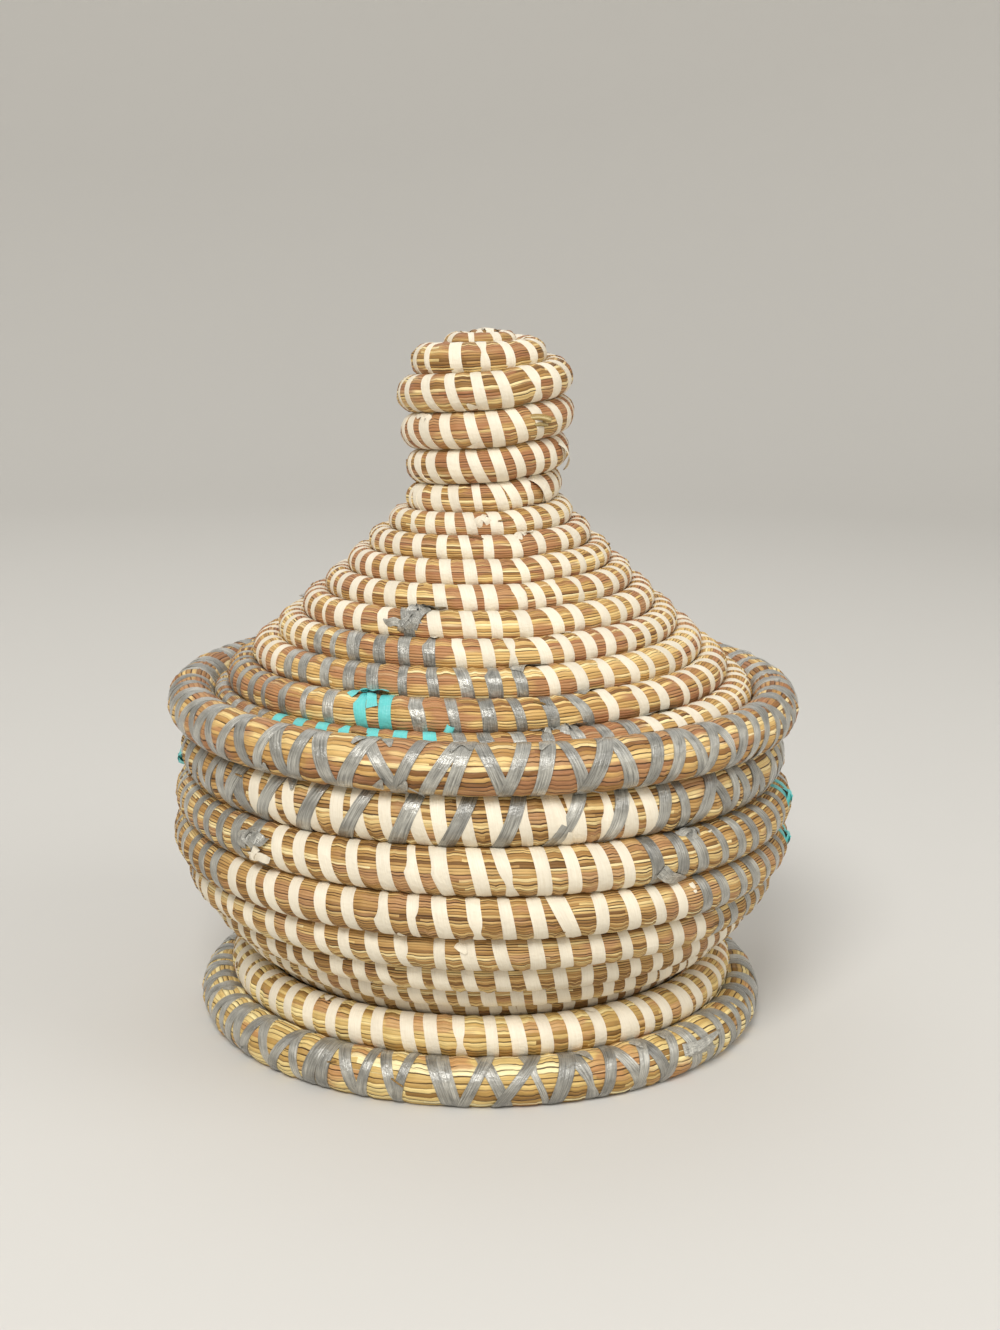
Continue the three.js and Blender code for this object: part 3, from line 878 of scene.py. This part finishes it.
def makeBundle(name, path, bound, material, seed, press):
    decimetres = mm * 10
    mesh = bpy.data.meshes.new(name + "Line")
    links = [(i, i + 1) for i in range(len(path["length"]) - 1)]
    mesh.from_pydata((path["centre"] * mm).tolist(), links, [])
    storeValues(mesh, {
        "bundleRadius": path["radius"] * mm, "outward": path["normal"], "along": path["length"] * decimetres,
    })
    obj = evaluated(name, mesh, windBundle, {
        "Sides": bundles["sides"], "Side Press": press, "Stem Relief": bundles["stemRelief"],
        "Seed": float(seed), "Grass": material,
    })
    laid = obj.data
    along, around = (
        readValues(laid.attributes[label].data, "value", np.float32) for label in ("along", "around")
    )
    points = readValues(laid.vertices, "co", float, 3) / mm
    order = np.argsort(along, kind="stable")
    points[order] = drawIn(points[order], along[order] / decimetres, path, bound, press)
    laid.vertices.foreach_set("co", (points * mm).ravel())
    laid.update()

    corners = readValues(laid.loops, "vertex_index", int)
    starts, sizes = (readValues(laid.polygons, label, int) for label in ("loop_start", "loop_total"))
    around = around[corners]
    highest = np.maximum.reduceat(around, starts)[np.repeat(np.arange(len(starts)), sizes)]
    around = np.where(highest - around > 0.5, around + 1, around)   # closes the pattern's seam
    uv = np.stack([along[corners] + seed * 1.7, around], -1).astype(np.float32)
    laid.uv_layers.new(name="bundleUV").data.foreach_set("uv", uv.ravel())
    return obj


def makeStrips(name, path, bound, press):
    rows = []
    for one in bound:
        here, lean = placeOn(path, one["length"]), math.radians(one["lean"])
        radius = here["radius"] * one["lift"] * mm
        wide = max(one["width"], strips["leastWidth"]) / math.cos(lean) * mm
        rows.append({
            "middle": here["centre"] * mm, "outward": here["normal"], "onward": here["right"],
            "size": (wide, radius * press * bundles["flankPress"], radius), "slope": -math.tan(lean),
            "colour": one["colour"], "shape": one["shape"], "shade": random.random(),
        })
    mesh = bpy.data.meshes.new(name + "Points")
    mesh.from_pydata([tuple(row["middle"]) for row in rows], [], [])
    storeValues(mesh, {label: [row[label] for row in rows] for label in rows[0]})
    return evaluated(name, mesh, windStrips, {
        "Shapes": shapeCollection, "White": whitePlastic, "Grey": greyPlastic, "Turquoise": bluePlastic,
    })


# The pieces

cornerEnd = bowl["floorTurns"] + bowl["cornerTurns"]
upperEnd = lid["knobTurns"] + lid["upperTurns"]
mouthHoop = (bowl["mouthRadius"], mouthHeight, bowl["rimThickness"])
edgeHoop = (lid["rimRadius"], lidHeight, lid["rimThickness"])
footLower = hoopPath(foot["radius"], lowerHeight, foot["lowerThickness"], lean=25)
footUpper = hoopPath(upperRadius, upperHeight, foot["upperThickness"], lean=30)
bowlFloor = coilPath(bowlOutline, 0, bowl["floorTurns"], step=1.6)
bowlCorner = coilPath(bowlOutline, bowl["floorTurns"], cornerEnd)
bowlWall = tailInto(coilPath(bowlOutline, cornerEnd, None), bowlOutline, *mouthHoop)
bowlRim = hoopPath(*mouthHoop)
knob = coilPath(lidOutline, 0, lid["knobTurns"], step=1.1)
coneUpper = coilPath(lidOutline, lid["knobTurns"], upperEnd)
coneLower = tailInto(coilPath(lidOutline, upperEnd, None), lidOutline, *edgeHoop)
lidRim = hoopPath(*edgeHoop, lean=20)
lidSeat = hoopPath(seatRadius, seatHeight, lid["seatThickness"], step=1.6)


def rimBinding():  # whites at the front with slanting greys over them, crossed greys all round the rest
    inFront = lambda front: -45 < front < 31
    found = bindCrosswise(bowlRim, spacing=5.6, keep=lambda front: not inFront(front))
    under = bindEvenly(bowlRim, pitch=(6.9,), lean=9)
    over = bindEvenly(
        bowlRim, pitch=(13.5,), lean=-24, width=3.9, colourOf=runs({}, grey), first=5.0, lift=1.03,
    )
    for one in under + over:
        if inFront(fromFront(placeOn(bowlRim, one["length"])["turns"])):
            found.append(one)
    return found


whiteSlot, greySlot, plainSlot = "grass_with_white_strips", "grass_with_grey_strips", "plain_grass"
bowlBinding = {"pitch": bowlPitch, "colourOf": bowlColours}
lidBinding = {"pitch": lidPitch, "colourOf": lidColours, "foldedShare": strips["lidFoldedShare"]}
pieces = [
    # name, body, replaced node, slot, path, grass, side press, strips
    ("footLower", "bowl", "foot_lower_coil", greySlot, footLower, strawGrass, 1.0,
     coverSeam(footLower, bindCrosswise(footLower, spacing=5.4, lean=20, width=3.3), grey)),
    ("footUpper", "bowl", "foot_upper_coil", whiteSlot, footUpper, tanFootGrass, 1.0,
     coverSeam(footUpper, bindEvenly(footUpper, lean=10), white)),
    ("bowlFloor", "bowl", "bowl_floor_coil", plainSlot, bowlFloor, basketGrass, 1.07,
     bindEvenly(bowlFloor, pitch=(7.4,))),
    ("bowlCorner", "bowl", "bowl_corner_coil", whiteSlot, bowlCorner, basketGrass, 1.05,
     bindEvenly(bowlCorner, **bowlBinding)),
    ("bowlWall", "bowl", "bowl_wall_coil", whiteSlot, bowlWall, basketGrass, 1.05,
     bindEvenly(bowlWall, **bowlBinding)),
    ("bowlRim", "bowl", "bowl_rim_coil", greySlot, bowlRim, basketGrass, 1.0,
     coverSeam(bowlRim, rimBinding(), grey)),
    ("knob", "lid", "knob_coil", whiteSlot, knob, knobGrass, 1.05,
     bindEvenly(knob, width=3.2, **lidBinding)),
    ("coneUpper", "lid", "cone_upper_coil", whiteSlot, coneUpper, lidGrass, 1.05,
     bindEvenly(coneUpper, width=3.0, **lidBinding)),
    ("coneLower", "lid", "cone_lower_coil", whiteSlot, coneLower, lidGrass, 1.05,
     bindEvenly(coneLower, width=3.3, **lidBinding)),
    ("lidRim", "lid", "lid_rim_coil", greySlot, lidRim, rimGrass, 1.0,
     coverSeam(lidRim, bindCrosswise(lidRim), grey)),
    ("lidSeat", "lid", "lid_seat_coil", plainSlot, lidSeat, basketGrass, 1.0,
     coverSeam(lidSeat, bindEvenly(lidSeat, pitch=(8.0,)), white)),
]
for number, (name, body, node, slotName, path, material, press, bound) in enumerate(pieces):
    bundle = makeBundle(name + "Bundle", path, bound, material, number, press)
    settle(bundle, body, [node])
    band = makeStrips(name + "Strips", path, bound, press)
    settle(band, body)
    print(f"{name}: {len(bundle.data.polygons)} faces of grass, {len(bound)} strips")


# Knots, tails and loose stems, laid on the bundles

loose = {
    "filmThickness": 0.10,   # mm
    "leastWidth": 0.25,      # mm
    "stemRadius": 0.28,      # mm
    "strayStems": 44,
    "frays": 34,
    "tips": 60,
}
parts = {   # body, and the bundles that hold the part's rounds
    "lid": ("lid", [knob, coneUpper, coneLower]), "lidRim": ("lid", [lidRim]),
    "bowl": ("bowl", [bowlFloor, bowlCorner, bowlWall]), "bowlRim": ("bowl", [bowlRim]),
    "footUpper": ("bowl", [footUpper]), "footLower": ("bowl", [footLower]),
}
laidParts = {"lid": [], "bowl": []}     # points of each section, material, shade
stemParts = {"lid": [], "bowl": []}


def smoothed(controls, samples=6):  # a smooth run of values through the controls
    controls = np.array(controls, float)
    padded = np.vstack([controls[0] * 2 - controls[1], controls, controls[-1] * 2 - controls[-2]])
    found = []
    for i in range(1, len(padded) - 2):
        p0, p1, p2, p3 = padded[i - 1:i + 3]
        bend, twist = 2 * p0 - 5 * p1 + 4 * p2 - p3, 3 * p1 - p0 - 3 * p2 + p3
        for t in np.arange(samples) / samples:
            found.append(0.5 * (2 * p1 + (p2 - p0) * t + bend * t ** 2 + twist * t ** 3))
    return np.array(found + [controls[-1]])


def onBundle(paths, row, front, above, lift):
    # a place on a bundle and the way out from it: degrees from the front, degrees above outward
    here = placeAt(paths, row, front)
    out = here["normal"] * math.cos(math.radians(above)) + here["up"] * math.sin(math.radians(above))
    return here["centre"] + out * (here["radius"] + lift), out


def layRibbon(part, row, controls, colour):
    # controls: degrees from the front, degrees above outward, lift, width, roll
    body, paths = parts[part]
    run = smoothed([(*control, 0.0)[:5] for control in controls])
    points, outs = (np.array(values) for values in zip(*(onBundle(paths, row, *place[:3]) for place in run)))
    sections = []
    for point, out, way, (width, roll) in zip(points, outs, unit(np.gradient(points, axis=0)), run[:, 3:]):
        out = unit(out - way * (out @ way))
        across = np.cross(way, out)
        cosine, sine = math.cos(math.radians(roll)), math.sin(math.radians(roll))
        across, out = across * cosine + out * sine, out * cosine - across * sine
        half, thick = across * (max(width, loose["leastWidth"]) / 2), out * loose["filmThickness"]
        sections.append([point - half, point + thick, point + half, point - thick * 0.5])
    # knots and tails take the lighter half of the tones, a painted sheen on the grey film
    laidParts[body].append((np.array(sections), colour, random.uniform(0.4, 1.0)))


def ring(centre, side, other, sides=6):  # the points round a centre
    return [centre + side * math.cos(a) + other * math.sin(a) for a in np.arange(sides) * turn / sides]


def layStem(body, paths, row, controls, radius, kind=0):
    # controls: degrees from the front, degrees above outward, lift
    points = np.array([onBundle(paths, row, *control)[0] for control in smoothed(controls, 4)])
    sections = []
    for i, (point, way) in enumerate(zip(points, unit(np.gradient(points, axis=0)))):
        side = unit(np.cross(way, (0.3, 0.2, 1.0)))
        size = radius * (0.75 if i in (0, len(points) - 1) else 1.0)
        sections.append(ring(point, side * size, np.cross(way, side) * size))
    stemParts[body].append((np.array(sections), kind, random.random()))


def joinParts(name, laid, materials, uvName, uvSize):
    points, faces, colours, uvs, shades, smooth = [], [], [], [], [], []
    for sections, colour, shade in laid:
        count, sides = sections.shape[:2]
        first = len(points)
        points += (sections.reshape(-1, 3) * mm).tolist()
        shades += [shade] * (count * sides)
        steps = lengthsAlong(sections.mean(1)) / uvSize + shade
        shares = [0.0, 0.5, 1.0, 0.5, 0.0] if sides == 4 else [k / sides for k in range(sides + 1)]
        for j in range(count - 1):
            for k in range(sides):
                square = ((j, k), (j, k + 1), (j + 1, k + 1), (j + 1, k))
                faces.append([first + row * sides + corner % sides for row, corner in square])
                pairs = [(shares[corner], steps[row]) for row, corner in square]
                uvs += pairs if sides == 4 else [pair[::-1] for pair in pairs]
        for end, order in ((0, range(sides - 1, -1, -1)), (count - 1, range(sides))):
            faces.append([first + end * sides + k for k in order])
            uvs += [(0.5, 0.5)] * sides
        smooth += [True] * ((count - 1) * sides) + [False] * 2
        colours += [colour] * ((count - 1) * sides + 2)
    mesh = bpy.data.meshes.new(name)
    mesh.from_pydata(points, [], faces)
    for material in materials:
        mesh.materials.append(material)
    mesh.polygons.foreach_set("material_index", colours)
    mesh.polygons.foreach_set("use_smooth", smooth)
    mesh.uv_layers.new(name=uvName).data.foreach_set("uv", [value for pair in uvs for value in pair])
    storeValues(mesh, {"shade": shades})
    if laid[0][0].shape[1] == 4:   # film has crisp edges
        sharp = [a % 2 == 0 and abs(a - b) == 4 for a, b in (edge.vertices[:] for edge in mesh.edges)]
        mesh.attributes.new("sharp_edge", "BOOLEAN", "EDGE").data.foreach_set("value", sharp)
    return newObject(name, mesh)


def degreesRound(paths, row, front, length):  # the degrees from the front that some mm take up on a row
    return math.degrees(length / np.hypot(*placeAt(paths, row, front)["centre"][:2]))


knots = {
    "reach": 2.3, "steep": 2.0,   # mm to either side, and above and below
    # each ribbon's points: shares of the reach and of the steepness, then lift, width and roll
    "loop": (
        (-1, -0.5, -0.2, 2.6, 0), (-0.5, 0, 0.7, 2.4, 0), (0, 0.2, 1.15, 2.2, 14), (0.6, -0.1, 0.7, 2.4, 0),
        (1, -0.6, -0.2, 2.6, 0),
    ),
    "over": (
        (-0.5, -1.3, -0.1, 2.4, 0), (-0.2, -0.4, 0.9, 1.9, -20), (0.1, 0.4, 1.0, 1.9, 20),
        (0.5, 1.3, -0.1, 2.5, 0),
    ),
    "tail": (
        (0, 0, 0.7, 1.7, 0), (1.1, 0.3, 0.8, 2.5, 10), (2.0, 0.1, 0.5, 2.3, 22), (2.7, 0.5, 0.7, 0.5, 30),
    ),
}


def layKnot(part, row, colour, front, above, size, tailWay):
    # a small knot with one tail; tailWay: 1 to the right, -1 to the left, 0 for none
    paths = parts[part][1]
    reach = degreesRound(paths, row, front, knots["reach"] * size)
    steep = math.degrees(knots["steep"] * size / placeAt(paths, row, front)["radius"])
    for form, way in (("loop", 1), ("over", 1), ("tail", tailWay)):
        if way:   # sunk ends and thin tips don't grow with the knot
            layRibbon(part, row, [
                (front + way * on * reach, above + up * steep, lift * (size if lift > 0 else 1),
                 width * (size if width > 1 else 1), roll)
                for on, up, lift, width, roll in knots[form]
            ], colour)


def layByHand(table):
    # by part, row and colour: a ribbon's points in a list, or a knot's place, size and tail
    for part, row, colour, form in table:
        if isinstance(form, list):
            layRibbon(part, row, form, colour)
        else:
            if len(form) == 2:   # a guessed knot, of any size
                form += (random.uniform(0.9, 1.2), random.choice((-1, 1)))
            layKnot(part, row, colour, *form)


curl = {"row": 0, "front": -7.0, "above": 62, "length": 2.8, "radius": 1.15, "wall": 0.22, "sides": 16}


def layCurl():  # a turquoise strip rolled up on itself and cut off, open at its end
    paths, radius = parts["lid"][1], curl["radius"]
    centre, _ = onBundle(paths, curl["row"], curl["front"], curl["above"], radius * 0.7)
    here = placeAt(paths, curl["row"], curl["front"])
    axis = unit(here["normal"] * 0.80 + here["up"] * 0.35 + here["right"] * 0.42)
    side = unit(np.cross(axis, here["up"])) * radius
    other = np.cross(axis, side) * 0.8
    laidParts["lid"].append((np.array([
        ring(centre + axis * push * curl["length"] / 2, side * share, other * share, curl["sides"])
        for push, share in ((-1.0, 1.0), (1.0, 1.0), (1.0, 1 - curl["wall"]), (-0.9, 0.62))
    ]), blue, 0.5))


def closeMiddle(body, top, depth):  # a stub of stems and two crossed strips where a coil starts
    rings = [(0.7, -depth), (1.5, -depth + 0.6), (1.5, -1.3), (0.9, -0.8)]
    stemParts[body].append((np.array([
        ring(np.array((0, 0, top + z)), np.array((r, 0, 0)), np.array((0, r, 0))) for r, z in rings
    ]), 0, 0.3))
    thick = np.array((0, 0, 0.1))
    for heading, lift in ((20, 0.0), (105, 0.16)):
        way = np.array([math.cos(math.radians(heading)), math.sin(math.radians(heading)), 0])
        side, sections = np.array([-way[1], way[0], 0]), []
        for on, z, half in (
            (-3.6, -2.2, 1.1), (-3.2, -0.4, 1.1), (-2.0, 0.12, 1.2), (0, 0.05, 1.1), (2.0, 0.12, 1.2),
            (3.2, -0.4, 1.1), (3.6, -2.2, 1.1),
        ):
            middle = way * on + (0, 0, top + z + lift)
            sections.append([middle - side * half, middle + thick, middle + side * half, middle - thick / 2])
        laidParts[body].append((np.array(sections), white, 0.5 + lift))


# the grey bunch high on the cone's left
for front, above, lean, width in (
    (-25.5, 10, 4, 3.0), (-24.0, 4, -3, 2.6), (-22.0, 8, 3, 3.2), (-20.0, 2, -4, 2.4),
):
    layRibbon("lid", 4, [
        (front - lean * 0.4, above + 62, 0.0, width), (front - lean * 0.2, above + 25, 0.45, width * 0.8, 12),
        (front + lean * 0.1, above - 8, 0.5, width * 0.9, -12), (front + lean * 0.5, above - 50, 0.0, width),
    ], grey)

layByHand([
    ("lid", 4, grey, (-22.5, 48, 1.25, 1)),
    ("lid", 4, grey, (-25.0, -34, 0.9, -1)),
    # flat tails of the grey strips lower down
    ("lid", 2, grey, [(8, 20, 0.1, 3.4), (9, 48, 0.5, 3.4), (11, 62, 0.6, 3.2), (14, 66, 0.5, 3.0),
                      (17.5, 64, 0.4, 1.0)]),
    ("lid", 1, grey, [(22, 40, 0.1, 3.6), (24.5, 60, 0.5, 3.4), (27, 70, 0.4, 2.8), (30, 70, 0.3, 0.8)]),
    ("lid", 0, grey, [(36, 52, 0.2, 3.2), (39, 58, 0.6, 3.8), (43, 56, 0.6, 3.6), (46, 58, 0.4, 1.6)]),
    # turquoise strips tied together
    ("lid", 1, blue, [(-30.2, 30, 0.1, 3.0), (-29.2, 52, 0.6, 3.3), (-27.0, 64, 1.0, 3.0, 12),
                      (-24.6, 62, 1.3, 3.2, -12), (-22.6, 54, 1.5, 3.7, 10), (-21.2, 50, 1.3, 0.8, 10)]),
    ("lid", 1, blue, [(-26.0, 58, 0.4, 2.8), (-24.9, 40, 0.6, 2.4, 15), (-24.2, 18, 0.5, 2.8, -8),
                      (-23.6, -8, 0.2, 3.2)]),
    ("lid", 1, blue, [(-27.5, 60, 0.5, 2.2), (-28.4, 70, 1.2, 2.0, 20), (-28.8, 78, 1.6, 0.6, 20)]),
])
layCurl()
layByHand([
    ("lid", 0, grey, (17.0, 46, 1.1, 1)),
    ("lid", 0, grey, (13.5, 52, 0.8, -1)),
    # knots, doubled strips and tails on the knob
    ("lid", 11, white, (-46, 58, 0.7, -1)),
    ("lid", 8, white, (-2, -12, 0.75, 0)),
    ("lid", 7, white, (20, 30, 0.65, 1)),
    ("lid", 9, white, [(40, 60, 0.1, 3.0), (45, 20, 0.7, 2.2, 20), (52, -14, 0.9, 2.6, -15),
                       (58, -46, 0.6, 1.0)]),
    ("lid", 10, white, [(66, 50, 0.2, 3.0), (70, 10, 1.1, 2.4, 20), (76, -28, 1.4, 1.6, 35),
                        (80, -50, 1.8, 0.5, 40)]),
    # on the bowl: knots at the left, tails at the right, and a loose end on the foot
    ("bowl", 0, grey, (-44, 12, 1.3, 1)),
    ("bowl", 0, white, (-42, -30, 1.0, 1)),
    ("bowl", 0, grey, [(31, -20, 0.2, 3.8), (33, -42, 0.7, 3.6, 10), (35.5, -56, 0.8, 3.0, 20),
                       (37.5, -62, 0.8, 0.8, 20)]),
    ("bowl", 0, grey, (40, 62, 0.9, -1)),
    ("bowl", 0, blue, (78, 20, 1.0, 0)),
    ("bowl", 1, blue, (80, 30, 0.9, 0)),
    ("bowlRim", 0, blue, (-80, -20, 1.1, 0)),
    ("footLower", 0, grey, [(42, 0, 0.3, 3.4), (45.5, -2, 1.1, 2.8, 12), (49.5, 4, 2.0, 1.8, 30),
                            (53.0, 10, 2.6, 0.4, 40)]),
    ("footLower", 0, grey, [(43, -8, 0.3, 2.6), (47, -14, 0.9, 2.0, -12), (50.5, -20, 1.2, 0.6, -20)]),
])
closeMiddle("lid", lidHeight + crownTop + lid["crownThickness"] / 2, 6.5)
closeMiddle("bowl", bowlHeight + bowl["floorThickness"] / 2, 6.0)
layByHand([
    # guessed knots on the sides and back, as many as the front has
    ("lid", 1, white, (118, 40)), ("lid", 2, white, (165, 20)), ("lid", 5, white, (-140, 30)),
    ("lid", 3, grey, (-112, 20)), ("lidRim", 0, grey, (150, 50)), ("lidRim", 0, grey, (-128, 46)),
    ("bowl", 1, grey, (140, 10)), ("bowl", 2, white, (-150, 0)), ("bowlRim", 0, grey, (122, -10)),
    ("footUpper", 0, white, (-120, 30)), ("footLower", 0, grey, (170, 10)), ("bowl", 3, white, (100, 0)),
])

for _ in range(loose["strayStems"]):   # broken stems, from under one strip to about the next
    _, body, _, _, path, _, _, bound = random.choice(pieces)
    length = random.choice(bound)["length"] + 1.0
    near, far = (placeOn(path, length + more)["turns"] for more in (0, random.uniform(2.6, 4.6)))
    row, front, reach = math.floor(near), fromFront(near), (far - near) * 360
    above, slant, ends = random.uniform(-45, 50), random.uniform(-16, 16), random.uniform(0.1, 0.9)
    layStem(body, [path], row, [
        (front + reach * on, above + slant * on, lift)
        for on, lift in ((0, -0.2), (0.3, 0.16), (0.7, 0.26), (1, ends))
    ], loose["stemRadius"] * random.uniform(0.7, 1.25))
# stems' ends on the knob, cut straight across
layStem(*parts["lid"], 11, [(31, 30, -0.9), (36, 25, 0.1), (40, 18, 0.7), (43, 10, 1.5)], 0.95, kind=1)
layStem(*parts["lid"], 11, [(33, 2, -0.6), (38, 0, 0.0), (42, -4, 0.5)], 0.6, kind=1)

# frayed threads and strip ends that peep out between the rounds, by part, rows and the usual strip
coils = [
    ("lid", range(0, 4), white), ("lid", range(4, 14), white), ("lidRim", (0,), grey), ("lidRim", (0,), grey),
    ("bowlRim", (0,), grey), ("bowl", range(0, 3), white), ("bowl", range(0, 5), white),
    ("footUpper", (0,), white), ("footLower", (0,), grey),
]
for _ in range(loose["frays"]):
    part, rows, colour = random.choice(coils)
    row, front = random.choice(rows), random.uniform(-178, 176)
    above, size = random.choice((-1, 1)) * random.uniform(48, 74), random.uniform(0.4, 1.2)
    reach = degreesRound(parts[part][1], row, front, random.uniform(1.5, 4.5)) * random.choice((-1, 1))
    layRibbon(part, row, [
        (front, above, 0.0, 0.9), (front + reach * 0.5, above + random.uniform(-12, 12), 0.4 * size, 0.6),
        (front + reach, above + random.uniform(-20, 20), 1.0 * size, 0.3),
    ], colour)
for _ in range(loose["tips"]):
    part, rows, colour = random.choice(coils)
    row, front, lower = random.choice(rows), random.uniform(-178, 176), random.choice((-1, 1))
    reach = degreesRound(parts[part][1], row, front, random.uniform(1.0, 2.6)) * random.choice((-1, 1))
    layRibbon(part, row, [
        (front, lower * 72, 0.0, 3.0), (front + reach * 0.5, lower * 56, 0.35, 2.6),
        (front + reach, lower * random.uniform(30, 46), 0.5, 0.7),
    ], colour)

for body in ("lid", "bowl"):
    tied = joinParts(body + "KnotsAndTails", laidParts[body], stripMaterials, "stripUV", 4.0)
    settle(tied, body)
    stems = joinParts(body + "StrayStems", stemParts[body], [lidGrass, strawGrass], "bundleUV", 100.0)
    settle(stems, body)
    print(f"knots and tails on the {body}: {len(laidParts[body])}")


# Floor, backdrop and light

stage = {"floorColour": "#d3d0ca", "radius": 1.7, "bend": 0.6, "height": 0.95, "sides": 96}


def makeStage():  # a floor that bends up into a round wall, far from the basket
    material, tree, shader = newMaterial("paleMattePaper")
    connect(tree, shader, {
        "Base Color": linear(stage["floorColour"]), "Roughness": 0.9, "Specular IOR Level": 0.2,
    })
    flat, bend, sides = stage["radius"] - stage["bend"], stage["bend"], stage["sides"]
    profile = [(flat * k / 6, 0.0) for k in range(1, 7)]
    for k in range(1, 13):
        a = math.radians(90 * k / 12)
        profile.append((flat + bend * math.sin(a), bend * (1 - math.cos(a))))
    profile.append((stage["radius"], stage["height"]))
    angles = turn * np.arange(sides) / sides
    points = np.concatenate([turnedBy(angles, np.array(place)) for place in profile])
    faces = [tuple(range(sides))]
    for row in range(len(profile) - 1):
        for k in range(sides):
            far = (k + 1) % sides
            faces.append((row * sides + k, (row + 1) * sides + k, (row + 1) * sides + far, row * sides + far))
    mesh = bpy.data.meshes.new("floor")
    mesh.from_pydata(points.tolist(), [], faces)
    mesh.polygons.foreach_set("use_smooth", [True] * len(faces))
    mesh.materials.append(material)
    newObject("floor", mesh)


makeStage()

lamps = [
    # name, place, aim, width, watts
    ("keyLamp", (-0.31, -1.27, 1.38), (0, 0, 0.08), 0.74, 23.8),
    ("sideLamp", (0.9, -0.35, 0.7), (0, 0, 0.08), 0.8, 3.2),
    ("backLamp", (-0.2, 0.7, 1.0), (0, 0, 0.1), 1.3, 3.0),
]
for name, place, aim, width, power in lamps:
    lamp = bpy.data.lights.new(name, "AREA")
    lamp.shape = "DISK"
    lamp.size = width
    lamp.energy = power
    obj = newObject(name, lamp)
    obj.location = place
    obj.rotation_euler = (Vector(aim) - Vector(place)).to_track_quat("-Z", "Y").to_euler()

world = bpy.data.worlds.new("softRoom")
world.use_nodes = True
connect(world.node_tree, world.node_tree.nodes["Background"], {"Color": linear("#f2f1ee"), "Strength": 0.48})
bpy.context.scene.world = world
bpy.context.scene.view_settings.view_transform = "Standard"
print("stage and light set")
